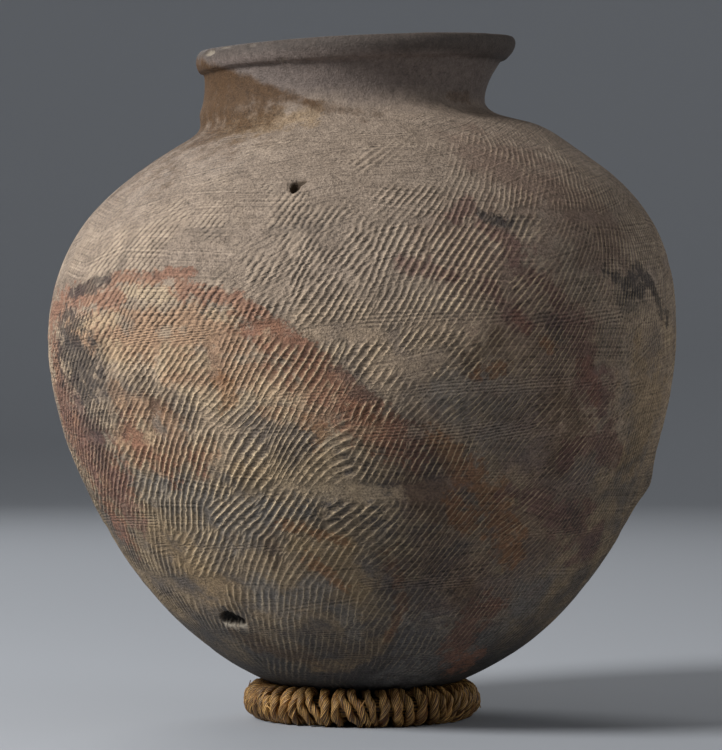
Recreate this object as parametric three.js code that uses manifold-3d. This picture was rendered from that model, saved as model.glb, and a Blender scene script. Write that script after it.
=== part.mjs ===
// A round-footed stoneware storage jar that stands in a ring of wound straw rope.
// Millimetres, +Z up. The origin is the middle of the ring, on the surface it stands on. The front faces -Y.
import * as THREE from "three";
import { mergeVertices } from "three/addons/utils/BufferGeometryUtils.js";
import Module from "manifold-3d";

const wasm = await Module();
wasm.setup();

const { degToRad, smoothstep, lerp } = THREE.MathUtils;

// Jar wall: radii from its axis, heights upwards from the underside of the foot
const BELLY_RADIUS = 219.5;
const BELLY_HEIGHT = 255;
const SHOULDER_RISE = 145;
const NECK_ROOT_RADIUS = 116;
const NECK_RISE = 44;
const NECK_TOP_RADIUS = 104.5;
const SHOULDER_SLOPE = degToRad(28.6);
const NECK_FLARE = degToRad(25);
const BODY_WALL = 9;
const FOOT_WALL = 13;

// Fullness of each stretch of the wall: the longer the handle, the rounder the curve
const FOOT_FULLNESS = 141;
const LOWER_BODY_FULLNESS = 95;
const UPPER_BODY_FULLNESS = 82;
const SHOULDER_FULLNESS = 70;
const COVE_FULLNESS = 17;
const NECK_FULLNESS = 27;

// Rim band: a thick lip that overhangs the neck
const RIM_OVERHANG = 7.5;
const RIM_HEIGHT = 15.5;
const RIM_UNDERCUT = 4.5;
const LIP_WIDTH = 10.5;
const LIP_DROP = 1.8;

// Lean of the hand-built wall: how far each level's centre stands to the right of the foot's
const LOWER_BODY_LEAN = 3;
const SHOULDER_LEAN = 0.8;
const NECK_LEAN = -12.5;
const RIM_LEAN = -4;
const TRUE_FOOT_HEIGHT = 15;
const LOWER_BODY_HEIGHT = 42;
const SHOULDER_TOP_DROP = 4;
const NECK_WAIST_RISE = 16;

// Slump of the upper body and mouth towards the left and the front
const UPPER_BODY_SLUMP = degToRad(2.1);
const MOUTH_SLUMP = degToRad(2.8);
const FORWARD_SLUMP = degToRad(1.8);

// Shallow flats left by the paddle
const PADDLE_FLAT_DEPTH = 0.9;
const PADDLE_FLATS_ROUND = 9;
const PADDLE_ROW_RISE = 62;
const PADDLE_ROW_TWIST = 2;
const PADDLED_FROM_HEIGHT = 75;

// Straw ring: core, and the rope wound round it
const RING_RADIUS = 70;
const CORE_DIAMETER = 12.8;
const ROPE_THICKNESS = 7;
const ROPE_TURNS = 56;
const ROPE_SPACING = 0.6;
const CLEARANCE = 0.3;
const FLOOR_FLAT = 0.7;

// Facets
const JAR_SIDES = 64;
const FOOT_ROWS = 13;
const SHOULDER_ROWS = 11;
const NECK_ROWS = 6;
const RIM_ROWS = 9;
const INNER_SHARE = 0.8;
const BLISTER_SIDES = 12;
const BLISTER_ROWS = 8;
const CORE_SIDES = 8;
const CORE_STEPS = 56;
const ROPE_STEPS = 8;
const ROPE_SIDES = 5;

// How closely places on the foot's curve are worked out
const FOOT_SAMPLES = 400;
const SEAT_SAMPLES = 64;
const HALVINGS = 30;
const WELD_DISTANCE = 1e-4;

// Swellings that the fire left in the wall, by azimuth from +X, height, reach along the wall and rise
const SWELLINGS = [
  { azimuth: degToRad(-6), height: 153, reach: 13, rise: 4 },
  { azimuth: degToRad(-98), height: 361, reach: 16, rise: 1.6 },
];

// Burst blisters: blind hollows in the outer face, with their size across and up the wall, and depth
const BLISTERS = [
  { azimuth: degToRad(-105.5), height: 358, across: 9, up: 9, depth: 5 },
  { azimuth: degToRad(-131.5), height: 56, across: 22, up: 11, depth: 5 },
];

const stoneware = new THREE.MeshStandardMaterial({ color: 0x8d8073, roughness: 0.82, metalness: 0 });
const bundledStraw = new THREE.MeshStandardMaterial({ color: 0x7a5a30, roughness: 0.9, metalness: 0 });
const strawRope = new THREE.MeshStandardMaterial({ color: 0xa87c42, roughness: 0.75, metalness: 0 });

// Solids and meshes

// A geometry with its seams and poles closed, whose faces share their corners
function closed(geometry) {
  geometry.deleteAttribute("normal");
  geometry.deleteAttribute("uv");
  return mergeVertices(geometry, WELD_DISTANCE);
}

function solidOf(geometry) {
  const corners = geometry.index.array;
  const triVerts = [];
  for (let i = 0; i < corners.length; i += 3) {
    const [a, b, c] = corners.subarray(i, i + 3);
    if (a !== b && b !== c && c !== a) triVerts.push(a, b, c);
  }
  return new wasm.Manifold(
    new wasm.Mesh({
      numProp: 3,
      vertProperties: geometry.attributes.position.array,
      triVerts: new Uint32Array(triVerts),
    }),
  );
}

function meshOf(solid, material, name) {
  const { vertProperties, triVerts } = solid.getMesh();
  const geometry = new THREE.BufferGeometry();
  geometry.setAttribute("position", new THREE.BufferAttribute(vertProperties, 3));
  geometry.setIndex(new THREE.BufferAttribute(triVerts, 1));
  geometry.computeVertexNormals();
  const mesh = new THREE.Mesh(geometry, material);
  mesh.name = name;
  return mesh;
}

// Jar profile, in the plane of radius and height

const neckRootHeight = BELLY_HEIGHT + SHOULDER_RISE;
const neckTopHeight = neckRootHeight + NECK_RISE;
const rimTopHeight = neckTopHeight + RIM_HEIGHT;
const rimRadius = NECK_TOP_RADIUS + RIM_OVERHANG;
const midway = (low, high) => (low + high) / 2;

const root = new THREE.Vector2(NECK_ROOT_RADIUS, neckRootHeight);
const neckTop = new THREE.Vector2(NECK_TOP_RADIUS, neckTopHeight);
const upShoulder = new THREE.Vector2(-Math.cos(SHOULDER_SLOPE), Math.sin(SHOULDER_SLOPE));
const upNeck = new THREE.Vector2(Math.sin(NECK_FLARE), Math.cos(NECK_FLARE));

const along = (start, direction, length) => start.clone().addScaledVector(direction, length);

const footCurve = new THREE.CubicBezierCurve(
  new THREE.Vector2(0, 0),
  new THREE.Vector2(FOOT_FULLNESS, 0),
  new THREE.Vector2(BELLY_RADIUS, BELLY_HEIGHT - LOWER_BODY_FULLNESS),
  new THREE.Vector2(BELLY_RADIUS, BELLY_HEIGHT),
);
const shoulderCurve = new THREE.CubicBezierCurve(
  footCurve.v3,
  new THREE.Vector2(BELLY_RADIUS, BELLY_HEIGHT + UPPER_BODY_FULLNESS),
  along(root, upShoulder, -SHOULDER_FULLNESS),
  root,
);
const neckCurve = new THREE.CubicBezierCurve(
  root,
  along(root, upShoulder, COVE_FULLNESS),
  along(neckTop, upNeck, -NECK_FULLNESS),
  neckTop,
);
const rimCurve = new THREE.SplineCurve([
  new THREE.Vector2(rimRadius - RIM_UNDERCUT, neckTopHeight + LIP_DROP / 4),
  new THREE.Vector2(rimRadius, midway(neckTopHeight, rimTopHeight)),
  new THREE.Vector2(rimRadius - LIP_DROP, rimTopHeight - LIP_DROP),
  new THREE.Vector2(rimRadius - LIP_WIDTH / 2, rimTopHeight),
  new THREE.Vector2(rimRadius - LIP_WIDTH, rimTopHeight - LIP_DROP),
]);

function wallAt(height) {
  return lerp(FOOT_WALL, BODY_WALL, smoothstep(height, 0, BELLY_HEIGHT / 2));
}

// Points of the inner face: the outer curve moved inwards by the wall, from its top end down
function innerFace(curve, rows) {
  const points = [];
  for (let row = rows; row >= 0; row--) {
    const outer = curve.getPointAt(row / rows);
    const tangent = curve.getTangentAt(row / rows);
    const inwards = new THREE.Vector2(-tangent.y, tangent.x);
    points.push(along(outer, inwards, wallAt(outer.y)));
  }
  return points;
}

function jarProfile() {
  const innerRows = (rows) => Math.round(rows * INNER_SHARE);
  return [
    ...footCurve.getSpacedPoints(FOOT_ROWS),
    ...shoulderCurve.getSpacedPoints(SHOULDER_ROWS).slice(1),
    ...neckCurve.getSpacedPoints(NECK_ROWS).slice(1),
    ...rimCurve.getSpacedPoints(RIM_ROWS),
    ...innerFace(neckCurve, innerRows(NECK_ROWS)),
    ...innerFace(shoulderCurve, innerRows(SHOULDER_ROWS)).slice(1),
    ...innerFace(footCurve, innerRows(FOOT_ROWS)).slice(1, -1),
    new THREE.Vector2(0, FOOT_WALL),
  ];
}

// A value that eases from station to station up the wall
function eased(stations, height) {
  const above = stations.findIndex((station) => station.height > height);
  if (above === 0) return stations[0].value;
  if (above < 0) return stations[stations.length - 1].value;
  const [low, high] = [stations[above - 1], stations[above]];
  return lerp(low.value, high.value, smoothstep(height, low.height, high.height));
}

const leanStations = [
  { height: TRUE_FOOT_HEIGHT, value: 0 },
  { height: LOWER_BODY_HEIGHT, value: LOWER_BODY_LEAN },
  { height: BELLY_HEIGHT, value: 0 },
  { height: neckRootHeight - SHOULDER_TOP_DROP, value: SHOULDER_LEAN },
  { height: neckRootHeight + NECK_WAIST_RISE, value: NECK_LEAN },
  { height: rimTopHeight, value: RIM_LEAN },
];
const slumpStations = (shoulder, mouth) => [
  { height: BELLY_HEIGHT / 2, value: 0 },
  { height: midway(BELLY_HEIGHT, neckRootHeight), value: Math.tan(shoulder) },
  { height: neckRootHeight, value: Math.tan(shoulder) },
  { height: rimTopHeight, value: Math.tan(mouth) },
];
const sideSlump = slumpStations(UPPER_BODY_SLUMP, MOUTH_SLUMP);
const forwardSlump = slumpStations(FORWARD_SLUMP, FORWARD_SLUMP);

// How far the paddle's flats lift or press the wall, dying out towards the foot and the neck
function paddledRise(azimuth, height) {
  const row = (height / PADDLE_ROW_RISE) * Math.PI;
  const around = Math.sin(PADDLE_FLATS_ROUND * azimuth + PADDLE_ROW_TWIST * row);
  const overFoot = smoothstep(height, TRUE_FOOT_HEIGHT, PADDLED_FROM_HEIGHT);
  const underNeck = 1 - smoothstep(height, BELLY_HEIGHT, neckRootHeight);
  return PADDLE_FLAT_DEPTH * around * Math.sin(row) * overFoot * underNeck;
}

function swellingRise(swelling, radius, azimuth, height) {
  const apart = azimuth - swelling.azimuth;
  const turn = Math.atan2(Math.sin(apart), Math.cos(apart));
  const distance = Math.hypot(turn * radius, height - swelling.height);
  return swelling.rise * Math.exp(-((distance / swelling.reach) ** 2));
}

// Moves a point of the true turned form to where the hand-built wall has it
function handBuilt(point) {
  const radius = Math.hypot(point.x, point.y);
  const azimuth = Math.atan2(point.y, point.x);
  const height = point.z;
  let rise = paddledRise(azimuth, height);
  for (const swelling of SWELLINGS) rise += swellingRise(swelling, radius, azimuth, height);
  const wide = radius > 0 ? (radius + rise) / radius : 1;
  const { x, y } = point;
  point.x = x * wide + eased(leanStations, height);
  point.y = y * wide;
  point.z = height + x * eased(sideSlump, height) + y * eased(forwardSlump, height);
  return point;
}

// The outer face's place and directions at an azimuth and height
function outerFaceFrame(azimuth, height) {
  const curve = height < BELLY_HEIGHT ? footCurve : shoulderCurve;
  let [low, high] = [0, 1];
  for (let halving = 0; halving < HALVINGS; halving++) {
    const middle = midway(low, high);
    if (curve.getPoint(middle).y < height) low = middle;
    else high = middle;
  }
  const outer = curve.getPoint(low);
  const tangent = curve.getTangent(low);
  const out = new THREE.Vector3(Math.cos(azimuth), Math.sin(azimuth), 0);
  const across = new THREE.Vector3(-out.y, out.x, 0);
  const up = out.clone().multiplyScalar(tangent.x).setZ(tangent.y);
  const place = out.clone().multiplyScalar(outer.x).setZ(outer.y);
  return new THREE.Matrix4()
    .makeBasis(across, up, new THREE.Vector3().crossVectors(across, up))
    .setPosition(handBuilt(place));
}

function jarSolid() {
  const turned = closed(new THREE.LatheGeometry(jarProfile(), JAR_SIDES).rotateX(Math.PI / 2));
  const places = turned.attributes.position;
  const point = new THREE.Vector3();
  for (let i = 0; i < places.count; i++) {
    handBuilt(point.fromBufferAttribute(places, i));
    places.setXYZ(i, point.x, point.y, point.z);
  }
  return BLISTERS.reduce((wall, { azimuth, height, across, up, depth }) => {
    const hollow = closed(new THREE.SphereGeometry(1, BLISTER_SIDES, BLISTER_ROWS));
    hollow.scale(across / 2, up / 2, depth).applyMatrix4(outerFaceFrame(azimuth, height));
    return wall.subtract(solidOf(hollow));
  }, solidOf(turned));
}

// Straw ring: the rope's path is a helix bent round the core, one straight chord for each step

const chordShare = Math.cos(Math.PI / ROPE_STEPS);
const ropeInnerFlat = (ROPE_THICKNESS / 2) * Math.cos(Math.PI / ROPE_SIDES);
const pathRadius = (CORE_DIAMETER / 2 + CLEARANCE + ropeInnerFlat) / chordShare;
const woundRadius = pathRadius + ROPE_THICKNESS / 2;
const coreHeight = woundRadius - FLOOR_FLAT;
const stepAngle = (2 * Math.PI) / ROPE_STEPS;
const turnAngle = (2 * Math.PI) / ROPE_TURNS;

// The rope starts at the ring's inner face, going up, and ends below its own start, short of meeting it
const ropeSteps = ROPE_STEPS * (ROPE_TURNS - 1) + ROPE_STEPS - 1;
const sectionAngleAt = (step) => Math.PI - step * stepAngle;
const ringAngleAt = (step) => Math.PI / 2 + (step / ROPE_STEPS) * turnAngle;

// One cross-section of the rope, as wide as its turn has room for: it is squeezed on the ring's inside
function ropeSection(step) {
  const angle = sectionAngleAt(step);
  const turnToChord = step === 0 ? -stepAngle / 2 : step === ropeSteps ? stepAngle / 2 : 0;
  const facing = angle + turnToChord;
  const ringAngle = ringAngleAt(step);
  const out = new THREE.Vector3(Math.cos(ringAngle), Math.sin(ringAngle), 0);
  const beside = new THREE.Vector3(-out.y, out.x, 0);
  const middle = out.clone().multiplyScalar(RING_RADIUS + pathRadius * Math.cos(angle));
  middle.z = pathRadius * Math.sin(angle);
  const outwards = out.multiplyScalar(Math.cos(facing)).setZ(Math.sin(facing));
  const widestShare = Math.cos(Math.PI / (2 * ROPE_SIDES));
  const room = turnAngle * Math.hypot(middle.x, middle.y);
  const halfWidth = (room - ROPE_SPACING) / 2 / widestShare;
  return Array.from({ length: ROPE_SIDES }, (_, side) => {
    const turn = (side / ROPE_SIDES) * 2 * Math.PI;
    return middle
      .clone()
      .addScaledVector(beside, halfWidth * Math.sin(turn))
      .addScaledVector(outwards, (ROPE_THICKNESS / 2) * Math.cos(turn));
  });
}

// The least distance between the points of one turn and those of the next; after the last comes the first
function leastGap(sections) {
  let least = Infinity;
  for (let step = 0; step < sections.length; step++) {
    const next = step + ROPE_STEPS - 2;
    const lastTurn = step < ROPE_STEPS ? sections.slice(-ROPE_STEPS) : [];
    const others = sections.slice(next, next + ROPE_STEPS).concat(lastTurn);
    for (const point of sections[step])
      for (const other of others.flat()) least = Math.min(least, point.distanceTo(other));
  }
  return least;
}

function ropeSolid() {
  const sections = Array.from({ length: ropeSteps + 1 }, (_, step) => ropeSection(step));
  console.log(`least gap between the rope's turns: ${leastGap(sections).toFixed(2)} mm`);
  const faces = [];
  for (let step = 0; step < ropeSteps; step++)
    for (let side = 0; side < ROPE_SIDES; side++) {
      const beside = (side + 1) % ROPE_SIDES;
      const [a, b] = [step * ROPE_SIDES + side, step * ROPE_SIDES + beside];
      const [c, d] = [a + ROPE_SIDES, b + ROPE_SIDES];
      faces.push(a, d, b, a, c, d);
    }
  const lastSection = ropeSteps * ROPE_SIDES;
  for (let side = 1; side < ROPE_SIDES - 1; side++) {
    faces.push(0, side, side + 1);
    faces.push(lastSection, lastSection + side + 1, lastSection + side);
  }
  const wound = new THREE.BufferGeometry().setFromPoints(sections.flat()).setIndex(faces);
  const reach = 4 * (RING_RADIUS + woundRadius);
  const floor = closed(new THREE.BoxGeometry(reach, reach, reach));
  floor.translate(0, 0, -coreHeight - reach / 2);
  return solidOf(wound).subtract(solidOf(floor));
}

// The core's edges face the middles of the rope's chords, where the rope lies closest
function coreSolid() {
  const facing = stepAngle / 2;
  const reach = CORE_DIAMETER / 2;
  const section = new THREE.EllipseCurve(RING_RADIUS, 0, reach, reach, facing, facing + 2 * Math.PI);
  const profile = section.getPoints(CORE_SIDES);
  return solidOf(closed(new THREE.LatheGeometry(profile, CORE_STEPS).rotateX(Math.PI / 2)));
}

// How high the foot stands: its outer face rests on the highest of the wound section's corners and chords
function seatHeight() {
  const face = footCurve.getPoints(FOOT_SAMPLES);
  const faceHeight = (radius) => {
    const above = face.findIndex((point) => point.x >= radius);
    const [low, high] = [face[above - 1], face[above]];
    return lerp(low.y, high.y, (radius - low.x) / (high.x - low.x));
  };
  let seat = -Infinity;
  for (let sample = 0; sample <= SEAT_SAMPLES; sample++) {
    const angle = (sample / SEAT_SAMPLES) * Math.PI;
    const offChord = ((angle + stepAngle / 2) % stepAngle) - stepAngle / 2;
    const reach = (woundRadius * chordShare) / Math.cos(stepAngle / 2 - Math.abs(offChord));
    const radius = RING_RADIUS + reach * Math.cos(angle);
    const height = coreHeight + reach * Math.sin(angle);
    seat = Math.max(seat, height - faceHeight(radius));
  }
  return seat + CLEARANCE;
}

const ring = new THREE.Group();
ring.position.z = coreHeight;
ring.add(meshOf(coreSolid(), bundledStraw, "ring_core"));
ring.add(meshOf(ropeSolid(), strawRope, "ring_rope"));

const jar = meshOf(jarSolid(), stoneware, "jar");
jar.position.z = seatHeight();

const jarOnRing = new THREE.Group();
jarOnRing.add(ring, jar);
export default jarOnRing;
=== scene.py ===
"""A hand-built, paddled stoneware jar that stands in a ring of wound straw rope."""

import math
from contextlib import contextmanager
from dataclasses import dataclass
from itertools import product

import bmesh
import bpy
import numpy as np
from bpy.props import FloatProperty, FloatVectorProperty, IntProperty, PointerProperty
from mathutils import Matrix, Vector


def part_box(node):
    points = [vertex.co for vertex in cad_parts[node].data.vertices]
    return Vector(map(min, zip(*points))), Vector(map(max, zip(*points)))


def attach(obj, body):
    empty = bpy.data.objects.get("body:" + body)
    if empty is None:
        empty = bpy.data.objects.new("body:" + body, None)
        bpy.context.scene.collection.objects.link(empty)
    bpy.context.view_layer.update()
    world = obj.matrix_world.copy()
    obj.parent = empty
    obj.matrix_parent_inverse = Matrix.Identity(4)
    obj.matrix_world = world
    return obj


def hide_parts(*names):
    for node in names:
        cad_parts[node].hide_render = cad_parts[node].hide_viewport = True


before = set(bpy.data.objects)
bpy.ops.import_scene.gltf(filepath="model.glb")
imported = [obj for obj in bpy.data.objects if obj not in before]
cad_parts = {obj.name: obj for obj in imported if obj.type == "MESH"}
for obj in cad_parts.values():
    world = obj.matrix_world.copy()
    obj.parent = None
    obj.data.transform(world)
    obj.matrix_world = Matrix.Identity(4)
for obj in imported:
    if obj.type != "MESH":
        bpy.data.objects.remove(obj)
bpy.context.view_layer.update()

bl_info = {
    "name": "Stoneware Jar on a Straw Ring",
    "version": (1, 0, 0),
    "blender": (4, 5, 0),
    "location": "View3D > Sidebar > Jar",
    "description": "A hand-built, paddled stoneware jar standing in a ring of wound straw rope",
    "category": "Add Mesh",
}

MM = 0.001
SEAT_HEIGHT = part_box("jar")[0].z
CORE_HEIGHT = (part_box("ring_core")[0].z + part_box("ring_core")[1].z) / 2
ROPE_OUTER_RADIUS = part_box("ring_rope")[1].x


# Colours and small numeric helpers


def srgb(red, green, blue):
    """A colour picked as 8-bit screen values, as the linear values that shaders take."""
    shares = (value / 255 for value in (red, green, blue))
    return tuple(s / 12.92 if s <= 0.04045 else ((s + 0.055) / 1.055) ** 2.4 for s in shares)


def smooth(value, low, high):
    """0 up to low, 1 from high on, and an ease between them. High may be below low."""
    share = np.clip((value - low) / (high - low), 0, 1)
    return share * share * (3 - 2 * share)


def eased(stations, height):
    """A value that eases from one (height, value) station to the next."""
    result = np.full_like(height, stations[0][1])
    for (low, start), (high, end) in zip(stations, stations[1:]):
        result = np.where(height > low, start + (end - start) * smooth(height, low, high), result)
    return result


def lattice_values(cells, seed):
    """One even random value from 0 to 1 for each whole-numbered cell."""
    mixed = cells[..., 0] * 374761393 + cells[..., 1] * 668265263 + cells[..., 2] * 974634721
    mixed = (mixed + seed * 1442695041) & 0xFFFFFFFF
    mixed = ((mixed ^ (mixed >> 13)) * 1274126177) & 0xFFFFFFFF
    return (mixed ^ (mixed >> 16)) / 0xFFFFFFFF


def grain(points, size, seed):
    """Smooth random values from -1 to 1 over points in space, in lumps of about that size."""
    scaled = points / size
    cells = np.floor(scaled).astype(np.int64)
    share = scaled - cells
    share = share * share * (3 - 2 * share)
    total = np.zeros(len(points))
    for corner in product((0, 1), repeat=3):
        weight = np.prod(np.where(corner, share, 1 - share), axis=1)
        total += weight * lattice_values(cells + np.array(corner), seed)
    return total * 2 - 1


def turned(angle):
    """An angle brought to within half a turn either way."""
    return np.arctan2(np.sin(angle), np.cos(angle))


# Jar: its outline, in the plane of radius and height above the foot's underside

FOOT_FULLNESS = 141 * MM
LOWER_BODY_FULLNESS = 95 * MM
UPPER_BODY_FULLNESS = 82 * MM
SHOULDER_FULLNESS = 70 * MM
COVE_FULLNESS = 17 * MM
NECK_FULLNESS = 27 * MM
SHOULDER_SLOPE = math.radians(28.6)
NECK_FLARE = math.radians(25)

# Rim band outline: distance in from its widest radius, and down from its top
RIM_OUTLINE = (
    (4.6, 15.2),
    (3.0, 13.6),
    (0.9, 10.0),
    (0.0, 6.2),
    (0.6, 2.6),
    (2.4, 0.6),
    (5.2, 0.0),
    (8.4, 0.7),
    (10.5, 3.0),
)

# How far each level's centre stands to the right of the foot's, by height
LEAN = ((15, 0), (42, 3), (255, 0), (396, 0.8), (416, -12.5), (459.5, -4))
# Slump towards the left and the front, by height
SIDE_SLUMP = ((127.5, 0), (327.5, 2.1), (400, 2.1), (459.5, 2.8))
FORWARD_SLUMP = ((127.5, 0), (327.5, 1.8), (459.5, 1.8))

BASE_STEPS = 256
FOOT_ROWS = 78
SHOULDER_ROWS = 42
NECK_ROWS = 14
RIM_ROWS = 14
INNER_ROWS = 34
# How far the marks of the outside fade in over the rim, and in how many rows they fade out under the neck
INSIDE_FADE = 6 * MM
NECK_FADE_ROWS = 5
REFINING = 2
JAR_TRIANGLES = 196000
FOLD_ANGLE = math.radians(75)
FOLD_PASSES = 4
FOLD_EASING = 0.6
DOUBLES_APART = 0.001 * MM


def bezier(start, leaving, arriving, end, count=400):
    share = np.linspace(0, 1, count)[:, None]
    points = [np.array(p) for p in (start, leaving, arriving, end)]
    weights = ((1 - share) ** 3, 3 * share * (1 - share) ** 2, 3 * share**2 * (1 - share), share**3)
    return sum(weight * point for weight, point in zip(weights, points))


def even(points, rows):
    """The same outline as rows of even length."""
    along = lengths_along(points)
    places = np.linspace(0, along[-1], rows + 1)
    return np.stack([np.interp(places, along, points[:, axis]) for axis in (0, 1)], axis=1)


def lengths_along(points):
    return np.concatenate([[0], np.cumsum(np.linalg.norm(np.diff(points, axis=0), axis=1))])


def wall_offset(points, vessel):
    """The inner face of a stretch of wall, from its top end down."""
    tangent = np.gradient(points, axis=0)
    tangent /= np.linalg.norm(tangent, axis=1)[:, None]
    share = smooth(points[:, 1], 0, vessel.belly_height / 2)
    wall = vessel.foot_wall + (vessel.body_wall - vessel.foot_wall) * share
    return (points + np.stack([-tangent[:, 1], tangent[:, 0]], axis=1) * wall[:, None])[::-1]


def foot_curve(vessel):
    """The wall's outer face from the middle of its underside up to the widest level."""
    belly = np.array([vessel.belly_radius, vessel.belly_height])
    return bezier((0, 0), (FOOT_FULLNESS, 0), belly - (0, LOWER_BODY_FULLNESS), belly)


def jar_outline(vessel):
    """The wall's outline from the foot's underside over the rim to the inner floor."""
    belly = np.array([vessel.belly_radius, vessel.belly_height])
    root = np.array([vessel.neck_root_radius, vessel.belly_height + vessel.shoulder_rise])
    neck_top = np.array([vessel.neck_top_radius, root[1] + vessel.neck_rise])
    up_shoulder = np.array([-math.cos(SHOULDER_SLOPE), math.sin(SHOULDER_SLOPE)])
    up_neck = np.array([math.sin(NECK_FLARE), math.cos(NECK_FLARE)])
    foot = foot_curve(vessel)
    shoulder = bezier(belly, belly + (0, UPPER_BODY_FULLNESS), root - up_shoulder * SHOULDER_FULLNESS, root)
    neck = bezier(root, root + up_shoulder * COVE_FULLNESS, neck_top - up_neck * NECK_FULLNESS, neck_top)
    widest = vessel.neck_top_radius + vessel.rim_overhang
    top = neck_top[1] + vessel.rim_height
    rim = np.array([(widest - inset * MM, top - drop * MM) for inset, drop in RIM_OUTLINE])
    inner = np.concatenate([wall_offset(stretch, vessel) for stretch in (neck, shoulder, foot)])
    inner[-1] = (0, vessel.foot_wall)
    return np.concatenate([
        even(foot, FOOT_ROWS),
        even(shoulder, SHOULDER_ROWS)[1:],
        even(neck, NECK_ROWS)[1:],
        even(rim, RIM_ROWS),
        even(inner, INNER_ROWS),
    ])


# Jar: what hands, paddle and fire did to the wall. Bearings are degrees to the right of the front and
# heights are millimetres above the floor.

# Swells and hollows: bearing, height, reach across and up, and rise
WALL_TOUCHES = (
    (84, 166, 13, 13, 4.0),
    (-10, 366, 12, 9, 2.6),
    (80, 428, 50, 9, -3.0),
    (70, 408, 45, 9, 3.0),
    (48, 424, 15, 8, -3.0),
    (22, 413, 13, 6, 2.0),
    (-40, 68, 12, 3.5, 1.2),
    (-40, 86, 14, 5, 1.0),
)

# Hollows of the two burst blisters: bearing, height, half width, half height, depth, softness of the edge,
# droop of the ends, and the strength of the painted highlight along the lower lip and of the painted shadow
# in the lower left
BLISTERS = (
    (-14.1, 363.0, 3.2, 3.5, 6.5, 0.2, 0.0, 0.0),
    (-12.8, 365.8, 4.2, 1.2, 4.0, 0.3, 0.0, 0.0),
    (-40.0, 76.0, 10.0, 4.4, 6.5, 0.14, 0.35, 1.0),
)
# Depth at which a hollow counts as fully burst
BURST_DEPTH = 5 * MM

# Chips of the rim's outer edge: bearing, height, half width, half height, depth and share of pale clay
RIM_CHIPS = (
    (-66, 462.5, 8.0, 2.4, 2.0, 0.55),
    (-55, 464.5, 6.0, 0.8, 0.4, 0.25),
    (-41, 464, 3.0, 1.2, 0.5, 0.15),
    (-29, 453, 4.0, 1.0, 0.6, 0.2),
    (23, 474, 5.0, 1.3, 0.7, 0.35),
    (118, 474, 6.0, 2.2, 1.4, 0.4),
    (-150, 464, 5.0, 2.0, 1.2, 0.4),
)

# The paddle's strikes lie in rows up the wall, in four layers whose own strikes keep clear of each other
STRIKE_LAYERS = 4
STRIKE_FIRST_ROW = 24 * MM
STRIKE_ROW_RISE = 37 * MM
STRIKE_ROW_WAVER = 6 * MM
STRIKE_SPACING = 43 * MM
STRIKE_HALF_WIDTH = 29 * MM
STRIKE_HALF_HEIGHT = 25 * MM
STRIKE_EDGE = 9 * MM
STRIKE_SEED = 7
# How far a strike strays: round its row as a share of its spacing, up the wall, and in slant, pitch and
# bend
STRIKE_STRAY = 0.08
STRIKE_RISE_STRAY = 2.5 * MM
SLANT_STRAY = 7
PITCH_STRAY = 0.06
BEND_STRAY = 5
# How far past its half size a strike's ragged edge is looked for
STRIKE_REACH = 1.25
# Fine lines that the paddle's wood left across its ridges
WOOD_PITCH = 1.7 * MM
WOOD_SLANT = 7
WOOD_SLANT_STRAY = 9
# Slant of the ridges above the level, by bearing, and how much steeper they stand down near the foot
RIDGE_SLANTS = (
    (-180, 58), (-80, 48), (-45, 54), (-20, 58), (10, 54), (40, 52), (65, 78), (100, 70), (180, 58),
)
FOOT_STEEPENING = 24
STEEPER_BELOW = 120 * MM
STEEPEST_BELOW = 50 * MM
# Pitch of the ridges by bearing, as a share of the widest
PITCH_SHARES = ((-180, 0.95), (-30, 1), (5, 0.95), (25, 0.85), (50, 0.76), (110, 0.8), (180, 0.95))
# Height of the ridges by height and by bearing, as a share of the tallest
RELIEF_BY_HEIGHT = (
    (20, 0.0), (45, 0.4), (90, 0.75), (150, 1.0), (320, 1.0), (365, 0.75), (398, 0.4), (412, 0.0),
)
RELIEF_BY_BEARING = (
    (-180, 0.8), (-75, 0.85), (-40, 1.0), (5, 0.95), (25, 0.8), (50, 0.6), (100, 0.6), (180, 0.8),
)
# Narrow grooves between broad ridges to the left and on the shoulder, narrow ridges elsewhere
CREST_BY_BEARING = (
    (-180, 1.2), (-75, 0.5), (-55, 0.6), (-40, 0.8), (-24, 1.05), (-12, 1.8),
    (5, 3.0), (22, 5.0), (60, 5.5), (120, 3.0), (180, 1.2),
)
CREST_MOST = 7.0
CREST_BY_HEIGHT = ((0, 3.0), (150, 3.0), (225, 2.2), (275, 0.85), (310, 0.46), (370, 0.4))
# Where the ridges were smoothed away before firing but for some clusters, by bearing and by height
SMOOTHED_BY_BEARING = ((-180, 0.5), (-90, 1.0), (-40, 1.0), (0, 0.45), (30, 0.2), (90, 0.3), (180, 0.5))
SMOOTHED_BY_HEIGHT = ((285, 0.0), (335, 0.55), (365, 0.75), (392, 1.0))

# Runs of fine lines, scraped round the wall between the rows of strikes, that soften the ridges below them
SCRAPE_LAYERS = 2
SCRAPE_FIRST_ROW = 3
SCRAPE_LAST_ROW = 11
SCRAPE_PITCH = 2.1 * MM
SCRAPE_HALF_LENGTH = 62 * MM
SCRAPE_HALF_HEIGHT = 7 * MM
SCRAPE_EDGE = SCRAPE_HALF_HEIGHT * 0.6
SCRAPE_SPACING = 96 * MM
SCRAPE_SLANT = 5
SCRAPE_SEED = 12
# How far a scrape strays: up the wall, and in slant, pitch and bend
SCRAPE_RISE_STRAY = 4 * MM
SCRAPE_SLANT_STRAY = 2
SCRAPE_PITCH_STRAY = 0.1
SCRAPE_BEND_STRAY = 0.4


@dataclass
class Strike:
    """One stamp of parallel lines on the wall: where it is, how its lines run and how firmly it covers."""

    layer: int
    azimuth: float
    along: float
    slant: float
    pitch: float
    start: float
    bend: float
    wood_slant: float
    press: float
    half_width: float
    half_height: float
    edge: float


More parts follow.
